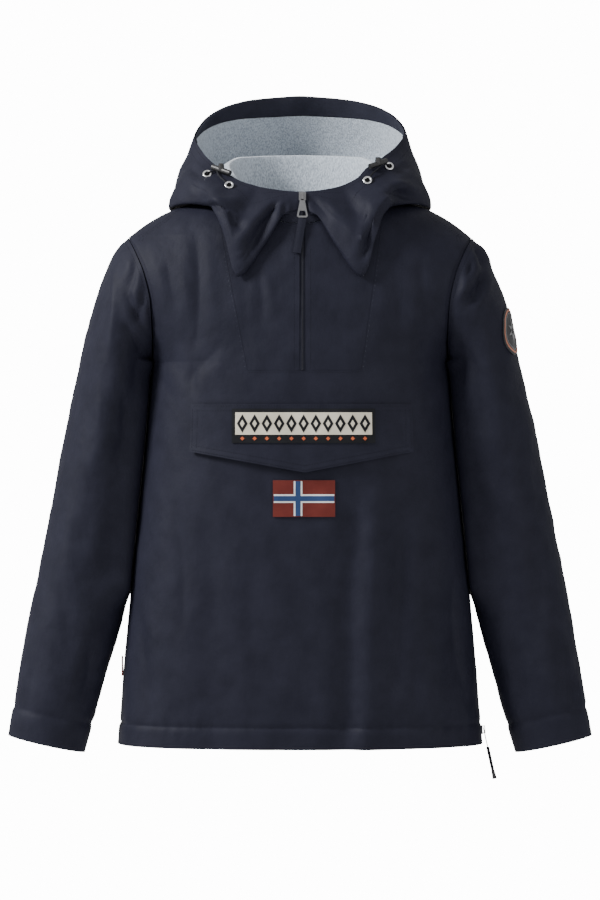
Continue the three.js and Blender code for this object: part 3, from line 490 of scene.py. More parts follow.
def body_surface(face):
    """The front or back panel's smooth surface, of the level and of across from -1 to 1."""
    way = 1 if face == "front" else -1
    folds = FRONT_FOLDS if face == "front" else BACK_FOLDS

    def surface(level, across):
        section = body_section(face, level)
        power = 2 / section["squareness"]
        reach = section["middle_y"] - section["seam_y"]
        edge_share = np.clip((section["edge_y"] - section["seam_y"]) / reach, 0, 1)
        edge_turn = np.arccos(edge_share ** (1 / power))
        half_width = section["edge_x"] / np.sin(edge_turn) ** power
        turn = across * edge_turn
        cosine = np.maximum(np.cos(turn), 0)
        x = way * np.sign(turn) * half_width * np.abs(np.sin(turn)) ** power
        z = lerp(section["edge_z"], section["middle_z"], cosine ** 2)
        out = fold_depth(folds, x, z) * smooth(1 - np.abs(across), 0, 0.2)
        return stack(x, section["seam_y"] + reach * cosine ** power - way * out, z)

    return surface


def front_y(x, z):
    """The front panel's smooth surface at a place seen from the front, below the armpits."""
    squareness = body_squareness(z)
    within = 1 - (np.abs(x) / body_side(z)) ** squareness
    return body_front(z) * np.maximum(within, 0) ** (1 / squareness) - fold_depth(FRONT_FOLDS, x, z)


def sleeve_surface(share, turn):
    """The viewer's right sleeve: turn 0 is its outer edge, then front, inner edge and back."""
    read = lambda column: through(SLEEVE, "share", column)(share)
    moved = lambda column: read(column) - SLEEVE[0][column]
    outward = (1 + np.cos(turn)) / 2
    ring = stack(
        lerp(read("inner_x"), read("outer_x"), outward),
        read("middle") - read("depth") / 2 * np.sin(turn),
        lerp(read("inner_z"), read("outer_z"), outward),
    )
    level = 2 - np.arccos(np.clip(np.cos(turn), -1, 1)) / np.pi
    front = body_section("front", level)
    back = body_section("back", level)
    edge = {key: np.where(np.sin(turn) >= 0, front[key], back[key]) for key in ("edge_x", "edge_y", "edge_z")}
    armhole = stack(
        edge["edge_x"] + lerp(moved("inner_x"), moved("outer_x"), outward),
        edge["edge_y"] - moved("depth") / 2 * np.sin(turn),
        edge["edge_z"] + lerp(moved("inner_z"), moved("outer_z"), outward),
    )
    sewn = (1 - smooth(share, 0, SEWN_SHARE))[..., None] * np.ones_like(ring[..., :1])
    return ring * (1 - sewn) + armhole * sewn


def from_front(angle):
    turned = np.mod(angle, 360)
    return np.where(turned > 180, 360 - turned, turned)


def hood_surface(angle, v):
    """The hood: v runs from the neck seam (0) over the stand and the fold to the rim (1)."""
    angle, v = arrays(angle, v)
    away = from_front(angle)
    read = lambda column: through(HOOD, "angle", column, True)(away)
    turn = np.radians(angle)
    ahead = np.cos(turn) > 0
    half = np.where(ahead, NECK_Y - YOKE[-1]["front"], YOKE[-1]["back"] - NECK_Y)
    seam_r = 1 / np.hypot(np.sin(turn) / YOKE[-1]["side"], np.cos(turn) / half)
    middle = np.where(ahead, NECK_FRONT_Z, NECK_BACK_Z)
    seam_z = lerp(NECK_SIDE_Z, middle, np.cos(turn) ** 2) + 2 * SEAM_GAP
    fold = read("fold")
    rise = fold * FOLD_RISE
    stand_r, stand_z, hang_r, hang_z = read("stand_r"), read("stand_z"), read("hang_r"), read("hang_z")
    lift = np.where(np.mod(angle, 360) < 180, read("lift"), 0)
    r = [seam_r, stand_r, (stand_r + hang_r) / 2 + fold, hang_r - fold, hang_r, hang_r + 0.7 * fold,
         read("swell_r"), read("rim_r")]
    z = [seam_z, stand_z, (stand_z + hang_z) / 2 + rise, hang_z + rise, hang_z, hang_z + rise,
         read("swell_z"), read("rim_z") + lift]
    radius = hermite(HOOD_STATIONS, r, v)
    height = hermite(HOOD_STATIONS, z, v)
    return stack(radius * np.sin(turn), NECK_Y - radius * np.cos(turn), height)


def normal_of(surface, a, b, step_a, step_b):
    """The surface's normals at places a and b."""
    by_a = surface(a + step_a, b) - surface(a - step_a, b)
    by_b = surface(a, b + step_b) - surface(a, b - step_b)
    return unit(np.cross(by_a, by_b))


def hood_normal(angle, v):
    return normal_of(hood_surface, angle, np.clip(v, 0.012, 0.988), 1.0, 0.012)


def hood_out(angle, v, points):
    """How far creases move the hood's cloth along its normal."""
    away = from_front(angle)
    ahead = crease_depth(HOOD_FRONT, points[..., 0], points[..., 2])
    ahead = ahead * smooth(v, 0.47, 0.57) * smooth(1 - v, 0.02, 0.2) * smooth(96 - away, 0, 14)
    behind = crease_depth(HOOD_CREASES, np.mod(angle, 360), v * 100)
    behind = behind * smooth(v, 0.48, 0.56) * smooth(1 - v, 0.0, 0.1) * smooth(away, 70, 90)
    return HOOD_CREASING * (ahead + behind)


def lining_surface(angle, v):
    """The lining lies under the shell behind, and spans the hanging folds in front."""
    angle, v = arrays(angle, v)
    follow = lerp(PLAIN_FOLLOW, 1, smooth(from_front(angle), 48, 84))
    place = np.where((v > STAND_V) & (v <= FOLD_V), STAND_V + (v - STAND_V) * follow, v)
    place = np.where(v > FOLD_V, 1 - (1 - v) * follow, place)
    depth = HOOD_SHELL + LINING_GAP + np.minimum(1, 8 * (1 - follow)) * PLAIN_CLEAR
    return hood_surface(angle, place) - hood_normal(angle, place) * depth[..., None]


def front_normal(x, z):
    step = 2.0
    across = stack(2 * step, front_y(x + step, z) - front_y(x - step, z), 0)
    up = stack(0, front_y(x, z + step) - front_y(x, z - step), 2 * step)
    return unit(np.cross(across, up))


def front_out(x, z):
    """How far creases move the front out at a place seen from the front."""
    x, z = arrays(x, z)
    flap_top = -FLAP["top"]
    by_flap = smooth(z, FLAG_PATCH["z"] - 60, FLAP["side"]) * smooth(-z, flap_top - 40, flap_top)
    return (crease_depth(FRONT_CREASES, x, z) + wear(stack(x, 0, z), 3)) * (1 - 0.75 * by_flap)


def back_out(x, z):
    return crease_depth(BACK_CREASES, x, z) + wear(stack(x, BACK_WEAR_Y, z), 11)


def front_at(x, z, lift):
    """A place on the creased front, seen from the front, and its normal."""
    normal = front_normal(x, z)
    base = stack(x, front_y(x, z), z)
    return base + normal * (front_out(x, z) + lift)[..., None], normal


# Meshes

def faces_of(rows, columns, ringed=False):
    """The faces of a grid of points, rows by columns."""
    index = np.arange(rows * columns).reshape(rows, columns)
    nxt = np.roll(index, -1, axis=1) if ringed else index[:, 1:]
    here = index if ringed else index[:, :-1]
    quads = np.stack([here[:-1], nxt[:-1], nxt[1:], here[1:]], axis=-1)
    return [tuple(q) for q in quads.reshape(-1, 4)]


def face_crosses(points, faces):
    """The triangles and the quads of a mesh, each group with its faces' cross products."""
    for size in (3, 4):
        group = np.array([f for f in faces if len(f) == size])
        if len(group):
            a = points[group[:, 2]] - points[group[:, 0]]
            b = points[group[:, -1]] - points[group[:, 1]]
            yield group, np.cross(a, b)


def vertex_normals(points, faces):
    normals = np.zeros_like(points)
    for group, crosses in face_crosses(points, faces):
        for column in group.T:
            np.add.at(normals, column, crosses)
    return unit(normals)


def area_of(points, faces):
    doubles = [np.linalg.norm(crosses, axis=1).sum() for _, crosses in face_crosses(points, faces)]
    return sum(doubles) / 2 * MM * MM


def shell(points, faces, thickness):
    """A closed thin wall: the faces, the same moved in by thickness, and the edges between."""
    count = len(points)
    inner = points - vertex_normals(points, faces) * thickness
    edges = {}
    for face in faces:
        for a, b in zip(face, face[1:] + face[:1]):
            if (b, a) in edges:
                del edges[(b, a)]
            else:
                edges[(a, b)] = True
    walls = [(b, a, a + count, b + count) for a, b in edges]
    backs = [tuple(i + count for i in reversed(face)) for face in faces]
    return np.vstack([points, inner]), list(faces) + backs + walls


def make_object(name, points, faces, material, slot=None, node=None, body="garment", sharp=50):
    """A mesh that moves with a body, and takes the place of a node."""
    mesh = bpy.data.meshes.new(name)
    mesh.from_pydata([tuple(p) for p in np.asarray(points) * MM], [], faces)
    mesh.validate()
    mesh.shade_smooth()
    mesh.set_sharp_from_angle(angle=math.radians(sharp))
    mesh.materials.append(material)
    obj = placed(name, mesh)
    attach(obj, body)
    if node:
        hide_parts(node)
    return obj


def cut_of(grid):
    """The width and length of a grid's cloth when laid flat: its longest row and column."""
    across = np.linalg.norm(np.diff(grid, axis=1), axis=2).sum(axis=1).max()
    down = np.linalg.norm(np.diff(grid, axis=0), axis=2).sum(axis=0).max()
    return float(across) * CUT_EASE, float(down) * CUT_EASE


def cloth_piece(name, outer, faces, thickness, material, slot, node, cut):
    """A piece of cloth: a thin shell over its smooth form, with the width and length of its flat cut worked
    out.
    """
    obj = make_object(name, *shell(outer, faces, thickness), material, slot, node)
    width, length = (size * MM for size in cut)
    area = min(area_of(outer, faces), 0.999 * width * length)


# Materials

class Look:
    """A material under way, with its nodes, links and shader."""

    def __init__(self, name):
        self.material = bpy.data.materials.new(name)
        self.material.use_nodes = True
        self.nodes = self.material.node_tree.nodes
        self.links = self.material.node_tree.links
        self.nodes.clear()
        out = self.nodes.new("ShaderNodeOutputMaterial")
        self.shader = self.nodes.new("ShaderNodeBsdfPrincipled")
        self.links.new(self.shader.outputs["BSDF"], out.inputs["Surface"])
        self.coords = self.nodes.new("ShaderNodeTexCoord")

    def node(self, kind, values, source, socket):
        """A node with some values, whose socket takes a source."""
        node = self.nodes.new("ShaderNode" + kind)
        for key, value in values.items():
            node.inputs[key].default_value = value
        self.links.new(source, node.inputs[socket])
        return node

    def noise(self, scale, detail=3.0, stretch=(1, 1, 1)):
        mapping = self.node("Mapping", {"Scale": stretch}, self.coords.outputs["Object"], "Vector")
        texture = self.node("TexNoise", {"Scale": scale, "Detail": detail}, mapping.outputs["Vector"], "Vector")
        return texture.outputs["Fac"]

    def colours(self, factor, low, high, start=0.3, end=0.7):
        ramp = self.node("ValToRGB", {}, factor, "Fac")
        for element, place, colour in zip(ramp.color_ramp.elements, (start, end), (low, high)):
            element.position = place
            element.color = (*colour, 1)
        self.links.new(ramp.outputs["Color"], self.shader.inputs["Base Color"])

    def bumps(self, *layers):
        """Bumps over one another, each with its height, distance and strength."""
        below = None
        for height, distance, strength in layers:
            bump = self.node("Bump", {"Distance": distance, "Strength": strength}, height, "Height")
            if below is not None:
                self.links.new(below, bump.inputs["Normal"])
            below = bump.outputs["Normal"]
        self.links.new(below, self.shader.inputs["Normal"])

    def done(self, values):
        for key, value in values.items():
            self.shader.inputs[key].default_value = value
        return self.material


def woven(name, dark, light, roughness, crumple=1.0, weave=1500, sheen=0.1):
    """Woven cloth: fine threads, small crumples and a slightly uneven colour."""
    look = Look(name)
    look.colours(look.noise(34, 4), dark, light)
    look.bumps(
        (look.noise(55, 5, (1, 1, 0.65)), 0.0018 * crumple, 0.5),
        (look.noise(210, 3), 0.0005 * crumple, 0.45),
        (look.noise(weave, 2, (1, 1, 1.8)), 0.00022, 0.5),
    )
    return look.done({"Roughness": roughness, "Sheen Weight": sheen, "Sheen Roughness": 0.45, "IOR": 1.19})


def fleece_material():
    """Brushed fleece: a melange of pale grey-blue fibres."""
    look = Look("fleece")
    fibres = look.noise(620, 4, (1, 1, 0.5))
    look.colours(fibres, (0.230, 0.265, 0.315), (0.415, 0.47, 0.53), 0.36, 0.62)
    look.bumps((look.noise(130, 4), 0.0016, 0.5), (fibres, 0.0009, 0.8))
    return look.done({"Roughness": 0.95, "Sheen Weight": 0.35, "Sheen Roughness": 0.6})


def metal_material(name, colour, roughness):
    """Plated metal with fine scratches."""
    look = Look(name)
    marks = look.noise(900, 4, (1, 1, 0.2))
    look.colours(marks, tuple(c * 0.8 for c in colour), colour)
    look.bumps((marks, 0.00005, 0.4))
    return look.done({"Metallic": 1.0, "Roughness": roughness})


def plastic_material(name, colour, roughness=0.5):
    """Moulded plastic with a faint grain."""
    look = Look(name)
    grain = look.noise(1400, 2)
    look.colours(grain, colour, tuple(min(1, c * 1.5 + 0.004) for c in colour))
    look.bumps((grain, 0.00006, 0.5))
    return look.done({"Roughness": roughness})


NYLON = woven("nylon", (0.0078, 0.0082, 0.0150), (0.0110, 0.0115, 0.0200), 0.62, 1.0, 1500, 0.0)
# The hood's facing is the same navy nylon, painted about twice as light: painted light for the light that falls
# on it
FACING_LIT = woven("nylon_facing_lit", (0.0170, 0.0178, 0.0270), (0.0230, 0.0240, 0.0360), 0.62, 0.8, 1500, 0.0)
TAPE = woven("zip_tape", (0.0075, 0.008, 0.0145), (0.0105, 0.011, 0.0185), 0.7, 0.0, 2200, 0.03)
THREAD = woven("thread", (0.0045, 0.0048, 0.0085), (0.0075, 0.008, 0.013), 0.8, 0.0, 3000, 0.0)
PALE_THREAD = woven("pale_thread", (0.050, 0.053, 0.070), (0.080, 0.085, 0.105), 0.8, 0.0, 3000, 0.0)
FLEECE_CLOTH = fleece_material()
TEETH = plastic_material("zip_teeth", (0.0065, 0.0068, 0.011), 0.45)
METAL = metal_material("metal", (0.27, 0.27, 0.28), 0.36)
SIDE_METAL = metal_material("side_metal", (0.10, 0.10, 0.105), 0.40)
RING = metal_material("eyelet_metal", (0.66, 0.66, 0.67), 0.30)
LOCK = plastic_material("lock_plastic", (0.0055, 0.0055, 0.0065), 0.5)
# Near-black, for the disc of painted shade in each eyelet's hole
HOLE_SHADE = woven("eyelet_shade_disc", (0.0012, 0.0012, 0.0014), (0.0022, 0.0022, 0.0025), 1.0, 0.0, 3000, 0.0)
ELASTIC = woven("elastic", (0.006, 0.006, 0.008), (0.014, 0.0145, 0.019), 0.7, 0.0, 2600, 0.03)
PATCH_BASE = woven("patch_base", (0.0060, 0.0062, 0.0078), (0.0105, 0.011, 0.0130), 0.85, 0.2, 1700, 0.05)
CREAM = woven("patch_cream", (0.40, 0.37, 0.30), (0.54, 0.50, 0.42), 0.9, 0.2, 1700)
ORANGE = woven("patch_orange", (0.34, 0.070, 0.028), (0.46, 0.11, 0.042), 0.9, 0.1, 1900)
FLAG_RED = woven("flag_red", (0.072, 0.013, 0.011), (0.104, 0.020, 0.016), 0.9, 0.2, 1700)
FLAG_BLUE = woven("flag_blue", (0.016, 0.034, 0.088), (0.024, 0.046, 0.115), 0.9, 0.2, 1700)
FLAG_WHITE = woven("flag_white", (0.42, 0.43, 0.43), (0.56, 0.57, 0.57), 0.9, 0.2, 1700)
BADGE_DARK = woven("badge_dark", (0.030, 0.031, 0.033), (0.050, 0.051, 0.054), 0.9, 0.2, 1700)
BADGE_PALE = woven("badge_pale", (0.13, 0.13, 0.135), (0.22, 0.22, 0.225), 0.9, 0.2, 1900)
BADGE_RING = woven("badge_ring", (0.26, 0.115, 0.080), (0.38, 0.17, 0.12), 0.9, 0.1, 1900)
LABEL_RED = woven("label_red", (0.32, 0.042, 0.022), (0.42, 0.060, 0.032), 0.85, 0.1, 2000)


# Stitches

def stitches(name, paths, material, length=2.7, pitch=3.6, radius=0.32):
    """Rows of sewn stitches: short pointed beads along each path, which is points and normals."""
    points = []
    faces = []
    for path, normal in paths:
        steps = np.linalg.norm(np.diff(path, axis=0), axis=1)
        at = np.concatenate([[0], np.cumsum(steps)])
        count = int(at[-1] // pitch)
        if count < 1:
            continue
        middle = (np.arange(count) + 0.5) * pitch
        read = lambda values, place: np.stack([np.interp(place, at, values[:, i]) for i in range(3)], axis=1)
        centre = read(path, middle)
        along = unit(read(path, middle + length / 2) - read(path, middle - length / 2))
        up = unit(read(normal, middle))
        side = unit(np.cross(along, up))
        for c, a, u, s in zip(centre, along, up, side):
            first = len(points)
            points.extend([
                c - a * length / 2, c + a * length / 2,
                c + u * radius, c + s * radius, c - u * radius, c - s * radius,
            ])
            ring = [first + 2, first + 3, first + 4, first + 5]
            for i in range(4):
                b, d = ring[i], ring[(i + 1) % 4]
                faces.append((first + 1, b, d))
                faces.append((first, d, b))
    make_object(name, np.array(points), faces, material, sharp=180)


# Panels

SKIRT_ROWS = 112
ARMHOLE_ROWS = 46
YOKE_ROWS = 34
BODY_COLUMNS = 150
EDGE_FADE = 0.09
SEAM_HALF = 0.12
OVER_NECK_Z = 60
SIDE_X = 150
FRONT_CUT = (581, 735)
BACK_CUT = (578, 745)
INSERT_CUT = {-1: (104, 203), 1: (101, 203)}


def body_levels():
    """Rows of the panels, with two of them close together at the hem's stitch line."""
    skirt = np.linspace(0, 1, SKIRT_ROWS, endpoint=False)
    skirt = skirt[np.abs(skirt - HEM_LEVEL) > HEM_ROW_GAP]
    rows = np.concatenate([skirt, [HEM_LEVEL - HEM_ROW_GAP, HEM_LEVEL, HEM_LEVEL + HEM_ROW_GAP]])
    rows.sort()
    armhole = 1 + np.linspace(0, 1, ARMHOLE_ROWS, endpoint=False)
    yoke = 2 + np.linspace(0, 1, YOKE_ROWS + 1)
    return np.concatenate([rows, armhole, yoke])


def body_out(face, level, across, points):
    """How far creases and the hem's double cloth move a panel along its normal."""
    x, z = points[..., 0], points[..., 2]
    out = front_out(x, z) if face == "front" else back_out(x, z)
    inward = 1 - np.abs(across)
    edge = smooth(inward, 0, EDGE_FADE) * smooth(3 - level, 0, 0.2)
    near_armhole = np.where((level > 1) & (level < 2), smooth(inward, 0, 0.16), 1)
    over_hem = level - HEM_LEVEL
    doubled = FOLDED_RISE * smooth(-over_hem, -0.002, 0.002)
    tuck = -HEM_TUCK * np.exp(-(over_hem / 0.006) ** 2)
    pucker = HEM_PUCKER * np.sin(x * 0.42 + 1.3 * np.sin(x * 0.05)) * np.exp(-(over_hem / 0.03) ** 2)
    seam = np.where((level > 1) & (level < 2.02), -ARMHOLE_DIP * np.exp(-(inward / 0.03) ** 2), 0)
    return out * edge * near_armhole + doubled + tuck + pucker + seam


def body_at(face):
    surface = body_surface(face)

    def at(level, across):
        level, across = arrays(level, across)
        points = surface(level, across)
        normal = -normal_of(surface, np.clip(level, 0.01, 2.99), np.clip(across, -0.99, 0.99), 0.008, 0.008)
        return points + normal * body_out(face, level, across, points)[..., None], normal

    return at


def cut_by_seams(points, faces, lines):
    """Splits a mesh along straight seams seen from the front: each line is a point and a direction."""
    mesh = bmesh.new()
    for p in points:
        mesh.verts.new(p)
    mesh.verts.ensure_lookup_table()
    for face in faces:
        mesh.faces.new([mesh.verts[i] for i in face])
    for (x, z), (dx, dz) in lines:
        near = [f for f in mesh.faces if f.calc_center_median().y < 0]
        geometry = near + list({e for f in near for e in f.edges}) + list({v for f in near for v in f.verts})
        bmesh.ops.bisect_plane(mesh, geom=geometry, dist=1e-4, plane_co=(x, 0, z), plane_no=(dz, 0, -dx))
    bmesh.ops.triangulate(mesh, faces=[f for f in mesh.faces if len(f.verts) > 4])
    mesh.verts.index_update()
    found = np.array([v.co for v in mesh.verts])
    split = [tuple(v.index for v in f.verts) for f in mesh.faces]
    mesh.free()
    return found, split


def keep_faces(points, faces, wanted):
    """The part of a mesh whose face centres are wanted."""
    kept = [f for f in faces if wanted(points[list(f)].mean(axis=0))]
    used = sorted({i for f in kept for i in f})
    place = {old: new for new, old in enumerate(used)}
    return points[used], [tuple(place[i] for i in f) for f in kept]


def insert_edge(side, z):
    """The x of an insert panel's outer seam at a height."""
    if side < 0:
        return INSERT_LEFT_FOOT + INSERT_LEFT_LEAN * (z - ZIP_FOOT_Z)
    return INSERT_RIGHT_FOOT + INSERT_RIGHT_LEAN * (z - ZIP_FOOT_Z)


def panel_outer(face):
    levels = body_levels()
    across = np.linspace(-1, 1, BODY_COLUMNS + 1)
    across = np.sign(across) * np.abs(across) ** 0.9
    points, _ = body_at(face)(levels[:, None], across[None, :])
    way = -1 if face == "front" else 1
    seam = (levels <= 1) | (levels >= 2)
    points[seam, 0, 1] += way * SEAM_GAP / 2
    points[seam, -1, 1] += way * SEAM_GAP / 2
    return points.reshape(-1, 3), faces_of(len(levels), len(across))


def make_panels():
    zip_left = ZIP_X - ZIP_SLOT / 2
    zip_right = ZIP_X + ZIP_SLOT / 2
    seams = [((x, 0), (0, 1)) for x in (zip_left, zip_right)]
    seams += [((0, ZIP_FOOT_Z + shift), (1, 0)) for shift in (-SEAM_HALF, SEAM_HALF)]
    for side in (-1, 1):
        for shift in (-SEAM_HALF, SEAM_HALF):
            foot = insert_edge(side, ZIP_FOOT_Z) + shift
            way = (insert_edge(side, OVER_NECK_Z) + shift - foot, OVER_NECK_Z - ZIP_FOOT_Z)
            seams.append(((foot, ZIP_FOOT_Z), way))
    front = cut_by_seams(*panel_outer("front"), seams)
    side_half = SIDE_ZIP_SLOT / 2

    def in_front(c):
        between = insert_edge(-1, c[2]) - SEAM_HALF < c[0] < insert_edge(1, c[2]) + SEAM_HALF
        in_side_zip = c[0] > SIDE_X and c[1] > -side_half and c[2] < SIDE_ZIP_TOP_Z
        return not (between and c[2] > ZIP_FOOT_Z - SEAM_HALF) and not in_side_zip

    def in_insert(side, c):
        if c[2] < ZIP_FOOT_Z + SEAM_HALF or c[1] > 0:
            return False
        if side < 0:
            return insert_edge(-1, c[2]) + SEAM_HALF < c[0] < zip_left
        return zip_right < c[0] < insert_edge(1, c[2]) - SEAM_HALF

    def in_back(c):
        return not (c[0] > SIDE_X and c[1] < side_half and c[2] < SIDE_ZIP_TOP_Z)

    def sewn(node, panel, wanted, cut):
        outer, kept = keep_faces(*panel, wanted)
        cloth_piece("nylon_" + node, outer, kept, CLOTH, NYLON, "nylon", node, cut)

    sewn("front", front, in_front, FRONT_CUT)
    sewn("insert_left", front, lambda c: in_insert(-1, c), INSERT_CUT[-1])
    sewn("insert_right", front, lambda c: in_insert(1, c), INSERT_CUT[1])
    sewn("back", panel_outer("back"), in_back, BACK_CUT)


# Sleeves

SLEEVE_ROWS = 150
SLEEVE_COLUMNS = 104
SIDE_CLEAR = 1.9
ARMPIT_CLEAR = -1.2


def laid_on_side(points, share, turn):
    """Lays the inner side of the right sleeve along the body's side, before and behind its edge."""
    x, y, z = points[..., 0], points[..., 1], np.clip(points[..., 2], HEM_Z, ARMPIT_Z)
    reach = np.where(y < 0, -body_front(z), body_back(z))
    squareness = body_squareness(z)
    within = np.maximum(1 - (np.abs(y) / reach) ** squareness, 0)
    at_armpit = 1 - smooth(share, 0.08, 0.16)
    body_x = body_side(z) * within ** (1 / squareness) + lerp(SIDE_CLEAR, ARMPIT_CLEAR, at_armpit)
    near = smooth(share, 0.012, 0.045) * smooth(0.78 - share, 0, 0.07) * smooth(-np.cos(turn), 0.3, 0.7)
    near = near * smooth(ARMPIT_Z - points[..., 2], -7, -1)
    near = near * np.maximum(smooth(np.abs(y), 3, 22), at_armpit) * smooth(66 - np.abs(y), 0, 30)
    moved = points.copy()
    moved[..., 0] = x - 0.9 * near * np.maximum(x - body_x, 0)
    return moved


def sleeve_at(side):
    """The places on a creased sleeve: side is 1 for the viewer's right and -1 for the left."""
    mirror = np.array([side, 1, 1])

    def at(share, turn):
        share, turn = arrays(share, turn)
        points = sleeve_surface(share, turn)
        normal = -normal_of(sleeve_surface, np.clip(share, 0.006, 0.994), turn, 0.005, 0.01)
        girth = np.degrees(np.mod(turn, 2 * np.pi)) * SLEEVE_GIRTH
        ahead = crease_depth(SLEEVE_FRONT[side], side * points[..., 0], points[..., 2])
        behind = crease_depth(SLEEVE_CREASES, girth, share * SLEEVE_LENGTH + SLEEVE_SHIFT[side])
        out = ahead * smooth(np.sin(turn), -0.1, 0.3) + behind * smooth(-np.sin(turn), -0.1, 0.3)
        worn = wear(points + np.array([side * SLEEVE_WEAR_X, 0, 0]), SLEEVE_SEED[side])
        out = SLEEVE_CREASING * out + SLEEVE_WEAR * worn
        fade = smooth(share, 0, 0.03) * smooth(1 - share, 0, 0.05)
        clear = smooth(np.cos(turn), -0.9, -0.55) + smooth(-share, -0.25, -0.2) + smooth(share, 0.75, 0.8)
        out = out * np.clip(clear, 0, 1) - SEAM_DIP * np.exp(-(share / 0.01) ** 2)
        cuff = FOLDED_RISE * smooth(share, CUFF_SHARE - 0.002, CUFF_SHARE + 0.002)
        tuck = -CUFF_TUCK * np.exp(-((share - CUFF_SHARE) / 0.005) ** 2)
        moved = laid_on_side(points + normal * (out * fade + cuff + tuck)[..., None], share, turn)
        return moved * mirror, normal * mirror

    return at


def make_sleeves():
    share = np.linspace(0.0009, 1, SLEEVE_ROWS) ** 1.05
    share = share[np.abs(share - CUFF_SHARE) > 0.004]
    share = np.sort(np.concatenate([share, CUFF_SHARE + np.array([-0.003, 0.0, 0.003])]))
    turn = np.linspace(0, 2 * np.pi, SLEEVE_COLUMNS, endpoint=False)
    for side, name in ((1, "sleeve_right"), (-1, "sleeve_left")):
        points, _ = sleeve_at(side)(share[:, None], turn[None, :])
        if side < 0:
            points = points[:, ::-1]
        faces = faces_of(len(share), len(turn), True)
        whole = cut_of(np.concatenate([points, points[:, :1]], axis=1))
        cloth_piece("nylon_" + name, points.reshape(-1, 3), faces, CLOTH, NYLON, "nylon", name, whole)


# Hood

HOOD_COLUMNS = 220
HOOD_ROW_COUNT = 84
HOOD_CLOTH = 1.0
FACING_ROWS = 8


def open_at_zip(points, angles):
    """Moves the hood's front edges to the two sides of the zip."""
    ease = lambda away: np.clip(1 - away / ZIP_EASE, 0, 1)
    right = ease(angles) * (ZIP_X + ZIP_SLOT / 2)
    left = ease(360 - angles) * (ZIP_X - ZIP_SLOT / 2)
    return points + stack(right + left, 0, 0)


def hood_moved(angle, v, points):
    """How far creases and rumples move the hood's cloth out."""
    small = HOOD_WEAR * wear(points, 41) * smooth(v, 0.5, 0.6) * smooth(1 - v, 0, 0.08)
    return hood_out(angle, v, points) + small


def hood_at(angle, v):
    """A place on the creased hood and its normal."""
    angle, v = arrays(angle, v)
    points = hood_surface(angle, v)
    normal = hood_normal(angle, v)
    return points + normal * hood_moved(angle, v, points)[..., None], normal


def lined_at(angle, v):
    """A place on the lining: at the sides and behind it follows the creases of the hood."""
    angle, v = arrays(angle, v)
    away = from_front(angle)
    followed = smooth(away, 74, 84)
    moved = hood_moved(angle, v, hood_surface(angle, v)) * followed - 0.6 * followed * smooth(v, 0.5, 0.6)
    at_side = smooth(away, 45, 62) * smooth(98 - away, 0, 14)
    moved = moved - LINING_DRAW * (at_side * smooth(v, 0.5, 0.54) * smooth(0.93 - v, 0, 0.14))
    return lining_surface(angle, v) + hood_normal(angle, v) * moved[..., None]


def lining_top(angle):
    return lerp(1, FACING_V, smooth(from_front(angle), 88, 112))


def hood_piece(name, points, thickness, material, slot, node):
    faces = faces_of(*points.shape[:2])
    cloth_piece(name, points.reshape(-1, 3), faces, thickness, material, slot, node, cut_of(points))


def make_hood():
    angles = np.linspace(0, 360, HOOD_COLUMNS + 1)
    v = np.linspace(0, 1, HOOD_ROW_COUNT)[:, None]
    outside = open_at_zip(hood_at(angles, v)[0], angles)
    hood_piece("nylon_hood", outside, HOOD_CLOTH, NYLON, "nylon", "hood")
    inside = open_at_zip(lined_at(angles, np.minimum(v, lining_top(angles))), angles)
    hood_piece("fleece_lining", inside, FLEECE, FLEECE_CLOTH, "fleece", "hood_lining")
    behind = angles[from_front(angles) >= FACING_FROM]
    share = np.linspace(0, 1, FACING_ROWS)[:, None]
    band = lined_at(behind, lerp(lining_top(behind) + FACING_GAP, 1, share))
    # The facing band takes the nylon copy that is painted lighter: painted light
    hood_piece("nylon_facing_lit", band, FLEECE, FACING_LIT, "nylon", "hood_facing")


# Pocket flap, patches and flag

def flap_lift(z):
    return lerp(FLAP_LIFT["top"], FLAP_LIFT["tip"], (FLAP["top"] - z) / (FLAP["top"] - FLAP["tip"]))


def flap_bottom(x):
    half = np.where(x < FLAP["tip_x"], FLAP["tip_x"] - FLAP["left"], FLAP["right"] - FLAP["tip_x"])
    return lerp(FLAP["tip"], FLAP["side"], np.abs(x - FLAP["tip_x"]) / half)


FLAP_CLOTH = 1.8
FLAP_CUT = (290, 87)
CHEST_PATCH_CUT = (179, 44)
FLAG_CUT = (79, 47)
BADGE_CUT = (60, 60)


def flap_roll(x, z):
    """How far the flap's lower and right edges stand out."""
    low = 1.4 * np.exp(-((z - flap_bottom(x)) / 7) ** 2)
    side = 2.0 * np.exp(-((FLAP["right"] - x) / 8) ** 2) * smooth(FLAP["top"] - z, 3, 30)
    return low + side


def on_flap(x, z, lift=0.0):
    """A place on the flap's outer face and its normal."""
    return front_at(x, z, flap_lift(z) + FLAP_CLOTH + flap_roll(x, z) + lift)


def laid_grid(columns, rows, place, at):
    u, v = np.meshgrid(np.linspace(0, 1, columns + 1), np.linspace(0, 1, rows + 1))
    points, _ = at(*place(u, v))
    return points.reshape(-1, 3), faces_of(rows + 1, columns + 1)


def rectangle(x, z, width, height):
    return lambda u, v: (x + (u - 0.5) * width, z + (v - 0.5) * height)


def make_flap():
    def place(u, v):
        x = lerp(FLAP["left"], FLAP["right"], u)
        return x, lerp(flap_bottom(x), FLAP["top"], v)

    outer, faces = laid_grid(76, 26, place, on_flap)
    cloth_piece("nylon_flap", outer, faces, FLAP_CLOTH, NYLON, "nylon", "pocket_flap", FLAP_CUT)


def emblem(name, outer, faces, thickness, material, slot):
    """A thin layer of woven or embroidered cloth."""
    make_object(name, *shell(outer, faces, thickness), material, slot)


def fan(points):
    """A ring of points with its middle, as triangles."""
    middle = points.mean(axis=0, keepdims=True)
    count = len(points)
    return np.vstack([points, middle]), [(i, (i + 1) % count, count) for i in range(count)]


def join(parts):
    points = []
    faces = []
    for some, theirs in parts:
        first = sum(len(p) for p in points)
        points.append(some)
        faces.extend(tuple(i + first for i in f) for f in theirs)
    return np.vstack(points), faces


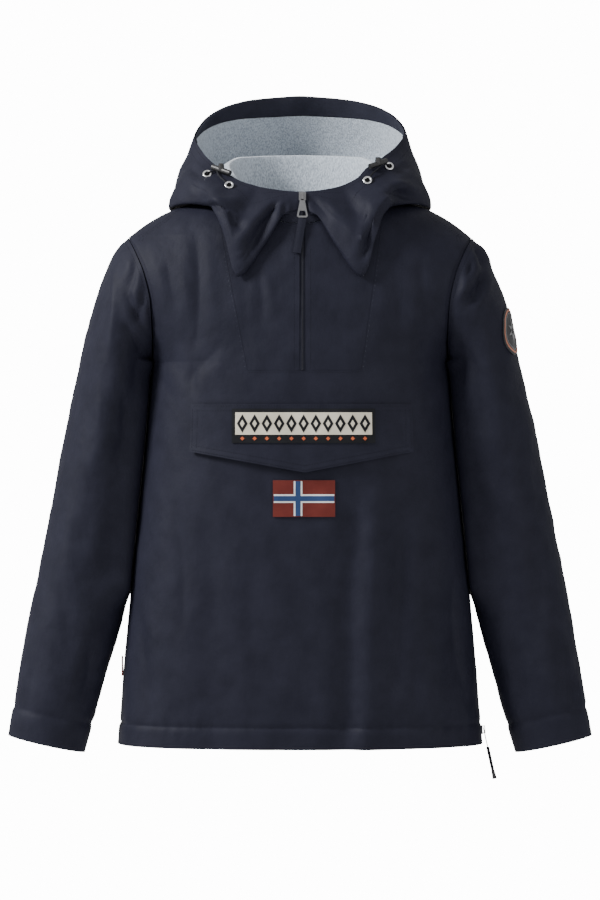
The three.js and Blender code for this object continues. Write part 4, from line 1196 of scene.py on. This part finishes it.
PATCH_LIFT = 1.4
BAND = dict(z=-278.6, width=170, height=28, border=1.2)
MOTIF = dict(count=11, z=BAND["z"], width=13.4, height=23, core=0.42)
DOTS = dict(count=11, z=-297.4, width=5.2, height=5.0)


def diamonds(x, z, spacing, count, width, height, lift):
    """A row of diamonds on the flap."""
    shapes = []
    turn = np.arange(4) * np.pi / 2
    for i in range(count):
        middle = x + (i - (count - 1) / 2) * spacing
        points, _ = on_flap(middle - width / 2 * np.cos(turn), z - height / 2 * np.sin(turn), PATCH_LIFT + lift)
        shapes.append(fan(points))
    return join(shapes)


def make_chest_patch():
    """A woven patch: a pale band with a row of dark diamonds, and small bright diamonds under it."""
    at = lambda lift: (lambda x, z: on_flap(x, z, PATCH_LIFT + lift))
    x = CHEST_PATCH["x"]
    outer, faces = laid_grid(48, 12, rectangle(**CHEST_PATCH), at(0))
    cloth_piece("patch_base", outer, faces, 1.0, PATCH_BASE, "patch", "chest_patch", CHEST_PATCH_CUT)
    outer, faces = laid_grid(48, 8, rectangle(x, BAND["z"], BAND["width"], BAND["height"]), at(0.4))
    emblem("patch_band", outer, faces, 0.35, CREAM, "patch")
    spacing = (BAND["width"] - 2 * BAND["border"]) / MOTIF["count"]
    for name, row, scale, lift, thickness, material in (
        ("patch_motif", MOTIF, 1, 0.75, 0.35, PATCH_BASE),
        ("patch_motif_core", MOTIF, MOTIF["core"], 1.05, 0.3, CREAM),
        ("patch_dots", DOTS, 1, 0.4, 0.35, ORANGE),
    ):
        shapes = diamonds(x, row["z"], spacing, row["count"], row["width"] * scale, row["height"] * scale, lift)
        emblem(name, *shapes, thickness, material, "patch")


CROSS = dict(x=-7.5, white=10.8, blue=6.4, border=1.1)
FLAG_LIFT = 0.7


def make_flag():
    patch = FLAG_PATCH
    at = lambda lift: (lambda x, z: front_at(x, z, FLAG_LIFT + lift))
    outer, faces = laid_grid(22, 14, rectangle(**patch), at(1.2))
    cloth_piece("flag_field", outer, faces, 1.0, FLAG_RED, "flag", "flag_patch", FLAG_CUT)
    inner_w = patch["width"] - 2 * CROSS["border"]
    inner_h = patch["height"] - 2 * CROSS["border"]
    x = patch["x"] + CROSS["x"]
    z = patch["z"]
    for name, material, wide, lift in (
        ("flag_cross_white", FLAG_WHITE, CROSS["white"], 1.45),
        ("flag_cross_blue", FLAG_BLUE, CROSS["blue"], 1.7),
    ):
        left = x - wide / 2 - (patch["x"] - inner_w / 2)
        right = patch["x"] + inner_w / 2 - x - wide / 2
        bars = join([
            laid_grid(2, 14, rectangle(x, z, wide, inner_h), at(lift)),
            laid_grid(6, 2, rectangle(x - wide / 2 - left / 2, z, left, wide), at(lift)),
            laid_grid(10, 2, rectangle(x + wide / 2 + right / 2, z, right, wide), at(lift)),
        ])
        emblem(name, *bars, 0.3, material, "flag")


def badge_places(across, down, lift):
    """A place on the badge, in millimetres from its middle, and its normal."""
    at = sleeve_at(1)
    turn = math.radians(BADGE["turn"])
    step = 0.01
    one = lambda a, b: sleeve_surface(np.array([a]), np.array([b]))[0]
    per_share = np.linalg.norm(one(BADGE["share"] + step, turn) - one(BADGE["share"] - step, turn)) / (2 * step)
    per_turn = np.linalg.norm(one(BADGE["share"], turn + step) - one(BADGE["share"], turn - step)) / (2 * step)
    points, normal = at(BADGE["share"] + down / per_share, turn + across / per_turn)
    return points + normal * lift, normal


def disc(radius_in, radius_out, lift, rings=6, sides=56):
    radii = np.linspace(radius_in, radius_out, rings + 1)[:, None]
    turn = np.linspace(0, 2 * np.pi, sides, endpoint=False)[None, :]
    points, _ = badge_places(radii * np.cos(turn), radii * np.sin(turn), lift)
    faces = [tuple(reversed(f)) for f in faces_of(rings + 1, sides, True)]
    if radius_in == 0:
        grid = points.reshape(-1, 3)
        keep = np.concatenate([[0], np.arange(sides, len(grid))])
        where = lambda i: 0 if i < sides else i - sides + 1
        faces = [tuple(dict.fromkeys(where(i) for i in f)) for f in faces]
        return grid[keep], faces
    return points.reshape(-1, 3), faces


STAR = dict(points=8, outer=16, inner=7)
BADGE_RINGS = (
    (28.2, 30.0, "badge_edge", 0.0, BADGE_DARK),
    (25.2, 27.6, "badge_ring", 0.35, BADGE_RING),
    (22.6, 23.4, "badge_line", 0.2, BADGE_PALE),
)


def make_badge():
    """An embroidered disc: two rings round a star on a dark ground."""
    outer, faces = disc(0, BADGE["radius"], 1.7)
    cloth_piece("badge_base", outer, faces, 1.1, BADGE_DARK, "badge", "sleeve_badge", BADGE_CUT)
    for low, high, name, lift, material in BADGE_RINGS:
        outer, faces = disc(low, high, 2.0 + lift, 2)
        emblem(name, outer, faces, 0.4, material, "badge")
    turn = np.arange(2 * STAR["points"]) * np.pi / STAR["points"]
    radius = np.where(np.arange(2 * STAR["points"]) % 2 == 0, STAR["outer"], STAR["inner"])
    points, _ = badge_places(radius * np.cos(turn), radius * np.sin(turn), 2.2)
    points, faces = fan(points)
    emblem("badge_star", points, [tuple(reversed(f)) for f in faces], 0.5, BADGE_PALE, "badge")
    outer, faces = disc(0, STAR["inner"] * 0.6, 2.7, 2, 24)
    emblem("badge_dot", outer, faces, 0.5, BADGE_DARK, "badge")


def make_label():
    """A folded loop of woven tape that stands out of the side seam."""
    turn = math.radians(LABEL["turn"])
    out = np.array([-math.sin(turn), math.cos(turn), 0])
    side = np.array([-math.cos(turn), -math.sin(turn), 0])
    start = np.array([-float(body_side(LABEL["z"])) - LABEL["lift"], 0, LABEL["z"]])
    reach = np.array([0, 0.4, 0.8, 0.96, 1.0, 0.96, 0.8, 0.4, 0]) * LABEL["reach"]
    spread = np.array([-0.45, -0.6, -0.6, -0.4, 0, 0.4, 0.6, 0.6, 0.45])
    heights = np.linspace(-0.5, 0.5, 9) * LABEL["height"]
    across = reach[:, None, None] * out + spread[:, None, None] * side
    grid = start + across + heights[None, :, None] * np.array([0, 0, 1.0])
    points, walls = shell(grid.reshape(-1, 3), faces_of(len(reach), len(heights)), 0.25)
    obj = make_object("label_loop", points, walls, LABEL_RED, "label", "side_label")


# Zips

TEETH_PITCH = 1.5
ZIP_TAPE_GAP = 0.55


def zip_spine():
    """The middle of the neck zip, from its foot to the hood's rim, with its normals."""
    z = np.linspace(ZIP_FOOT_Z + SEAM_GAP, SHOULDER_Z, 40)
    chest = stack(ZIP_X, body_front(z), z)
    share = np.linspace(0.1, 0.6, 4)
    yoke = stack(ZIP_X, through(YOKE, "share", "front")(share), through(YOKE, "share", "front_z")(share))
    v = np.linspace(0, 1, 16)
    stand = hood_surface(np.zeros_like(v), v)
    stand[:, 0] = ZIP_X
    points = np.vstack([chest, yoke, stand])
    along = np.gradient(points, axis=0)
    normal = unit(np.cross(np.array([1.0, 0, 0]), along))
    return points, normal, np.array([1.0, 0, 0])


def side_spine():
    z = np.linspace(HEM_Z, SIDE_ZIP_TOP_Z - SEAM_GAP, 60)
    points = stack(body_side(z), 0, z)
    along = np.gradient(points, axis=0)
    across = np.array([0, 1.0, 0])
    return points, unit(np.cross(across, along)), across


def tooth(centre, across, up, side):
    """The corners and faces of one zip tooth, which points to one side."""
    along = np.cross(up, across)
    ring = []
    for place, wide in ((-0.4, 0.7), (1.2, 0.9)):
        end = centre + across * side * place
        for a, u in ((-wide, -0.4), (wide, -0.4), (wide * 0.7, 0.3), (-wide * 0.7, 0.3)):
            ring.append(end + along * a * 0.5 + up * u)
    faces = [(0, 1, 2, 3), (7, 6, 5, 4), (0, 4, 5, 1), (1, 5, 6, 2), (2, 6, 7, 3), (3, 7, 4, 0)]
    if side > 0:
        faces = [tuple(reversed(f)) for f in faces]
    return np.array(ring), faces


def make_zip(name, node, spine):
    points, normal, across = spine
    half = ZIP_SLOT / 2 - ZIP_TAPE_GAP
    edge = points - normal * 0.6
    grid = np.stack([edge - across * half, points - normal * 0.4, edge + across * half], axis=1)
    steps = np.concatenate([[0], np.cumsum(np.linalg.norm(np.diff(points, axis=0), axis=1))])
    cloth_piece(name + "_tape", grid.reshape(-1, 3), faces_of(len(points), 3), 0.8, TAPE, "zip_plastic", node,
                (2 * ZIP_SLOT, steps[-1] * 1.01))
    read = lambda values, place: np.array([np.interp(place, steps, values[:, i]) for i in range(3)])
    teeth = []
    for i in range(int(steps[-1] // TEETH_PITCH)):
        place = (i + 0.5) * TEETH_PITCH
        teeth.append(tooth(read(points, place), across, unit(read(normal, place)), 1 if i % 2 else -1))
    make_object(name + "_teeth", *join(teeth), TEETH, "zip_plastic", sharp=30)


# Cords and small hardware

EYELET_CORDS = table(
    ("side", "outer_angle", "outer_v", "outer_lift", "inner_angle", "inner_v", "inner_lift",
     "lock_outer", "lock_outer_v", "lock_inner", "lock_inner_v"),
    ("left", 289, 0.91, 0.5, 308.5, 0.92, 1, 287.5, 0.96, 299.5, 0.99),
    ("right", 70, 0.93, 2, 51.5, 0.94, 1.5, 71, 0.96, 59, 0.98),
)
LOCK_LIFT = 5.5
EYELET = dict(inner=3.3, outer=5.8, thick=1.2, sides=40, section=12, tilt=0.75, lift=0.8)
ELASTIC_SIZE = dict(radius=1.0, start=0.45, arch=2.6, apex=0.22, under=2.6)


def over_hood(angle, v, lift):
    angle, v = arrays([angle], [v])
    return (hood_surface(angle, v) + hood_normal(angle, v) * lift)[0]


def make_elastic(node, points, sides=12, per_span=8):
    """A smooth round cord through a few points, with closed ends."""
    count = len(points)
    dense = np.linspace(0, count - 1, (count - 1) * per_span + 1)
    line = np.stack([hermite(np.arange(count), points[:, i], dense) for i in range(3)], axis=1)
    along = unit(np.gradient(line, axis=0))
    side = unit(np.cross(along[0], [0.3, 0.2, 0.93]))
    turn = np.linspace(0, 2 * np.pi, sides, endpoint=False)[:, None]
    rings = []
    for p, a in zip(line, along):
        side = unit(side - a * np.dot(side, a))
        up = np.cross(a, side)
        rings.append(p + ELASTIC_SIZE["radius"] * (np.cos(turn) * side + np.sin(turn) * up))
    grid = np.vstack(rings)
    faces = faces_of(len(line), sides, True)
    faces.append(tuple(reversed(range(sides))))
    faces.append(tuple(range(len(grid) - sides, len(grid))))
    make_object("cord_" + node, grid, faces, ELASTIC, "elastic", node, sharp=60)


def make_eyelet(node, place):
    """A rolled metal ring at an angle, v and lift over the hood, round a near-black disc that is painted shade
    for the dark of its hole.
    """
    angle, v, lift = place
    inner, outer, thick, sides = (EYELET[key] for key in ("inner", "outer", "thick", "sides"))
    centre = over_hood(angle, v, lift)
    up = unit(over_hood(angle, v, lift + 1) - centre)
    centre = centre + up * EYELET["lift"]
    up = unit(up + np.array([0, -EYELET["tilt"], 0]))
    side = unit(np.cross(up, np.array([0.0, 0.2, 1.0])))
    ahead = np.cross(side, up)
    turn = np.linspace(0, 2 * np.pi, sides, endpoint=False)
    around = np.cos(turn)[:, None] * side + np.sin(turn)[:, None] * ahead
    section = np.linspace(0, 2 * np.pi, EYELET["section"], endpoint=False)
    rings = []
    for s in section:
        radius = (inner + outer) / 2 + (outer - inner) / 2 * math.cos(s)
        rings.append(centre + around * radius + up * thick * (0.5 + 0.6 * math.sin(s)))
    total = sides * len(rings)
    faces = [tuple(int(i) % total for i in f) for f in faces_of(len(rings) + 1, sides, True)]
    make_object("ring_" + node, np.vstack(rings), faces, RING, "metal", node, sharp=60)
    # A near-black disc across the ring's opening: painted shade, standing in for the dark inside the hole
    disc_points, disc_faces = fan(centre + around * (inner + 0.4) + up * 0.7)
    make_object("shade_disc_" + node, *shell(disc_points, disc_faces, 0.1), HOLE_SHADE, "elastic")


def make_hood_cords():
    for row in EYELET_CORDS:
        places = {name: [row[name + end] for end in ("_angle", "_v", "_lift")] for name in ("outer", "inner")}
        for name, place in places.items():
            make_eyelet(f"eyelet_{row['side']}_{name}", place)
        angle = lerp(row["lock_outer"], row["lock_inner"], ELASTIC_SIZE["apex"])
        v = lerp(row["lock_outer_v"], row["lock_inner_v"], ELASTIC_SIZE["apex"])
        apex = over_hood(angle, v, LOCK_LIFT - ELASTIC_SIZE["under"])
        for name, ease in (("outer", 0.5), ("inner", 0.72)):
            from_angle, from_v, lift = places[name]
            points = np.array([
                over_hood(from_angle, from_v, lift + ELASTIC_SIZE["start"]),
                over_hood(lerp(from_angle, angle, 0.3), from_v + 0.002, lift + ELASTIC_SIZE["arch"]),
                over_hood(lerp(from_angle, angle, ease), lerp(from_v, v, 0.4), lift + ELASTIC_SIZE["arch"]),
                apex,
            ])
            make_elastic(f"elastic_{row['side']}_{name}", points)


PULL_CORD = dict(radius=2.1, length=30, lean=12.5, points=16)


def make_side_cord():
    """The side zip's pull cord, along the line of its solid."""
    low, high = (np.array(corner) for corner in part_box("side_pull_cord"))
    lean = math.radians(PULL_CORD["lean"])
    way = np.array([math.sin(lean), 0, -math.cos(lean)])
    half = PULL_CORD["length"] / 2 * MM
    start = (low + high) / 2 - way * half
    last = PULL_CORD["points"] - 1
    curve = bpy.data.curves.new("pull_cord", "CURVE")
    curve.dimensions = "3D"
    curve.bevel_depth = PULL_CORD["radius"] * MM
    curve.bevel_resolution = 4
    curve.use_fill_caps = True
    spline = curve.splines.new("POLY")
    spline.points.add(last)
    for i, place in enumerate(spline.points):
        place.co = (*(start + way * (2 * half * i / last)), 1)
    curve.materials.append(ELASTIC)
    obj = placed("pull_cord", curve)
    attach(obj, "side_tab")
    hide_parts("side_pull_cord")


TAG = dict(width=10, length=46, thick=1.2, sway=9, lean=13, rows=24, columns=7, bow=0.25, out=0.5)


def make_tag():
    """The cloth tag on the neck zip's metal tab."""
    low, high = (np.array(corner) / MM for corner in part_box("zip_tag"))
    sway = math.radians(TAG["sway"])
    lean = math.radians(TAG["lean"])
    down = np.array([-math.sin(sway), -math.cos(sway) * math.sin(lean), -math.cos(sway) * math.cos(lean)])
    across = unit(np.array([math.cos(sway), 0, -math.sin(sway)]))
    out = unit(np.cross(down, across))
    top = (low + high) / 2 - down * TAG["length"] / 2
    rows = np.linspace(0, 1, TAG["rows"])[:, None, None]
    columns = np.linspace(-0.5, 0.5, TAG["columns"])[None, :, None]
    bow = TAG["bow"] * np.sin(rows * 7) * out
    ridge = TAG["bow"] * np.cos(columns * 2 * np.pi) * out
    grid = top + rows * TAG["length"] * down + columns * TAG["width"] * across + bow + ridge + out * TAG["out"]
    points = grid.reshape(-1, 3)
    faces = faces_of(TAG["rows"], TAG["columns"])
    if vertex_normals(points, faces).mean(axis=0)[1] > 0:
        faces = [tuple(reversed(f)) for f in faces]
    obj = make_object("pull_tag", *shell(points, faces, TAG["thick"]), TAPE, "nylon", "zip_tag", "front_tab")


def finish_nodes():
    """Materials and softened edges for the hard nodes that stay."""
    for name, material in (
        ("zip_slider", METAL), ("zip_tab", METAL), ("side_slider", SIDE_METAL), ("side_tab", SIDE_METAL),
        ("cord_lock_left", LOCK), ("cord_lock_right", LOCK), ("side_pull_end", LOCK),
    ):
        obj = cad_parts[name]
        obj.data.materials.clear()
        obj.data.materials.append(material)
        bevel = obj.modifiers.new("bevel", "BEVEL")
        bevel.width = 0.25 * MM
        bevel.segments = 2
        bevel.limit_method = "ANGLE"
        bevel.angle_limit = math.radians(35)


# Sewing

SEW_INSETS = (2.5, 8.5)
YOKE_SEW = table(
    ("level", "across"),
    (1.86, 0.86), (2.0, 0.73), (2.12, 0.70), (2.25, 0.70), (2.35, 0.73), (2.45, 0.79), (2.6, 0.82),
)


def make_sewing():
    front = body_at("front")
    back = body_at("back")
    sides = (-1, 1)
    across = np.linspace(-0.995, 0.995, 260)
    paths = [at(row, across) for at in (front, back) for row in (HEM_LEVEL + 0.001, 0.006)]
    turn = np.linspace(0, 2 * np.pi, 140)
    paths += [sleeve_at(side)(share, turn) for side in (1, -1) for share in (CUFF_SHARE - 0.001, 0.012)]
    level = np.linspace(2.02, 2.98, 60)
    paths += [back(level, side * (1 - inset)) for side in sides for inset in (0.018, 0.045)]
    paths += [front(np.linspace(0.02, 0.98, 120), side * 0.985) for side in sides]
    paths += [at(np.linspace(1.0, 2.0, 90), side * 0.965) for at in (front, back) for side in sides]
    level = np.linspace(YOKE_SEW[0]["level"], YOKE_SEW[-1]["level"], 70)
    line = through(YOKE_SEW, "level", "across")(level)
    paths += [front(level, side * (line + shift)) for side in sides for shift in (0, 0.035)]
    stitches("sewing_body", paths, THREAD)

    z = np.linspace(ZIP_FOOT_Z + 2, -60, 80)
    paths = [upper_front_at(insert_edge(side, z) + side * 2.4, z) for side in sides]
    stitches("sewing_insert", paths, PALE_THREAD, length=1.8, pitch=6.5, radius=0.26)

    x = np.linspace(insert_edge(-1, ZIP_FOOT_Z), insert_edge(1, ZIP_FOOT_Z), 70)
    z = np.linspace(ZIP_FOOT_Z + 2, -50, 80)
    paths = [upper_front_at(x, ZIP_FOOT_Z - 2.6)]
    paths += [upper_front_at(ZIP_X + side * 10.4, z) for side in sides]
    stitches("sewing_zip", paths, THREAD)

    x = np.linspace(FLAP["left"] + 3, FLAP["right"] - 3, 140)
    z = np.linspace(FLAP["side"] + 4, FLAP["top"] - 3, 40)
    paths = [on_flap(x, FLAP["top"] - inset, 0.05) for inset in SEW_INSETS]
    paths += [on_flap(x, flap_bottom(x) + inset, lift) for inset, lift in zip(SEW_INSETS, (0.3, 0.1))]
    paths += [on_flap(FLAP["left"] + inset, z, 0.05) for inset in SEW_INSETS]
    paths += [on_flap(FLAP["right"] - inset, z, 0.05) for inset in SEW_INSETS]
    stitches("sewing_flap", paths, THREAD)
    stitches("sewing_hood", [hood_at(np.linspace(10, 350, 420), v) for v in (0.975, 0.93)], THREAD)


def upper_front_at(x, z):
    """A place on the front's upper part, as seen from the front, and its normal."""
    x, z = arrays(x, z)
    surface = body_surface("front")
    up = np.clip((z - ARMPIT_Z) / (SHOULDER_Z - ARMPIT_Z), 0, 1)
    above = 2 - np.arccos(np.clip(2 * up - 1, -1, 1)) / np.pi
    level = np.where(z < ARMPIT_Z, (z - HEM_Z) / (ARMPIT_Z - HEM_Z), above)
    low = np.full_like(x, -1.0)
    high = np.full_like(x, 1.0)
    for _ in range(36):
        middle = (low + high) / 2
        at = surface(level, middle)[..., 0]
        low = np.where(at < x, middle, low)
        high = np.where(at < x, high, middle)
    return body_at("front")(level, (low + high) / 2)


# Studio

AMBIENT = 0.74
BACKDROP = 14
STAGE = dict(floor=-0.93, near=-9.0, bend=6.5, radius=2.0, top=5.5, half=9.0, steps=12)
LIGHTS = (
    ("key", (-3.2, -1.4, 2.0), (0, 0, -0.25), (1.1, 1.1), 360),
    ("fill", (2.6, -3.0, 0.5), (0, 0, -0.3), (2.0, 2.4), 55),
)


def make_stage():
    """A pale floor that sweeps up behind the garment, and is white to the camera."""
    floor_z, bend_y, radius, steps = (STAGE[key] for key in ("floor", "bend", "radius", "steps"))
    profile = [(STAGE["near"], floor_z), (bend_y, floor_z)]
    for i in range(1, steps + 1):
        turn = math.pi / 2 * i / steps
        profile.append((bend_y + radius * math.sin(turn), floor_z + radius * (1 - math.cos(turn))))
    profile.append((bend_y + radius, STAGE["top"]))
    points = [(side * STAGE["half"], y, z) for y, z in profile for side in (-1, 1)]
    faces = [(2 * i, 2 * i + 1, 2 * i + 3, 2 * i + 2) for i in range(len(profile) - 1)]
    mesh = bpy.data.meshes.new("floor")
    mesh.from_pydata(points, [], faces)
    mesh.shade_smooth()
    look = Look("floor")
    glow = look.nodes.new("ShaderNodeEmission")
    glow.inputs["Color"].default_value = (1, 1, 1, 1)
    glow.inputs["Strength"].default_value = BACKDROP
    path = look.nodes.new("ShaderNodeLightPath")
    mix = look.node("MixShader", {}, path.outputs["Is Camera Ray"], "Fac")
    look.links.new(look.shader.outputs["BSDF"], mix.inputs[1])
    look.links.new(glow.outputs["Emission"], mix.inputs[2])
    look.links.new(mix.outputs["Shader"], look.nodes["Material Output"].inputs["Surface"])
    mesh.materials.append(look.done({"Base Color": (0.62, 0.62, 0.62, 1), "Roughness": 0.9}))
    placed("floor", mesh)


def area_light(name, place, target, size, power):
    data = bpy.data.lights.new(name, "AREA")
    data.shape = "RECTANGLE"
    data.size, data.size_y = size
    data.energy = power
    light = placed(name, data)
    light.location = place
    light.rotation_euler = (Vector(target) - Vector(place)).to_track_quat("-Z", "Y").to_euler()


def make_lights():
    world = bpy.data.worlds.new("world")
    world.use_nodes = True
    nodes = world.node_tree.nodes
    links = world.node_tree.links
    nodes["Background"].inputs["Color"].default_value = (1, 1, 1, 1)
    path = nodes.new("ShaderNodeLightPath")
    strength = nodes.new("ShaderNodeMapRange")
    strength.inputs["To Min"].default_value = AMBIENT
    strength.inputs["To Max"].default_value = BACKDROP
    links.new(path.outputs["Is Camera Ray"], strength.inputs["Value"])
    links.new(strength.outputs["Result"], nodes["Background"].inputs["Strength"])
    bpy.context.scene.world = world
    for light in LIGHTS:
        area_light(*light)


make_side_cord()
make_panels()
make_sleeves()
make_hood()
make_flap()
make_chest_patch()
make_flag()
make_badge()
make_label()
make_zip("neck_zip", "zip_strip", zip_spine())
make_zip("side_zip", "side_zip_strip", side_spine())
make_hood_cords()
make_tag()
finish_nodes()
make_sewing()
make_stage()
make_lights()
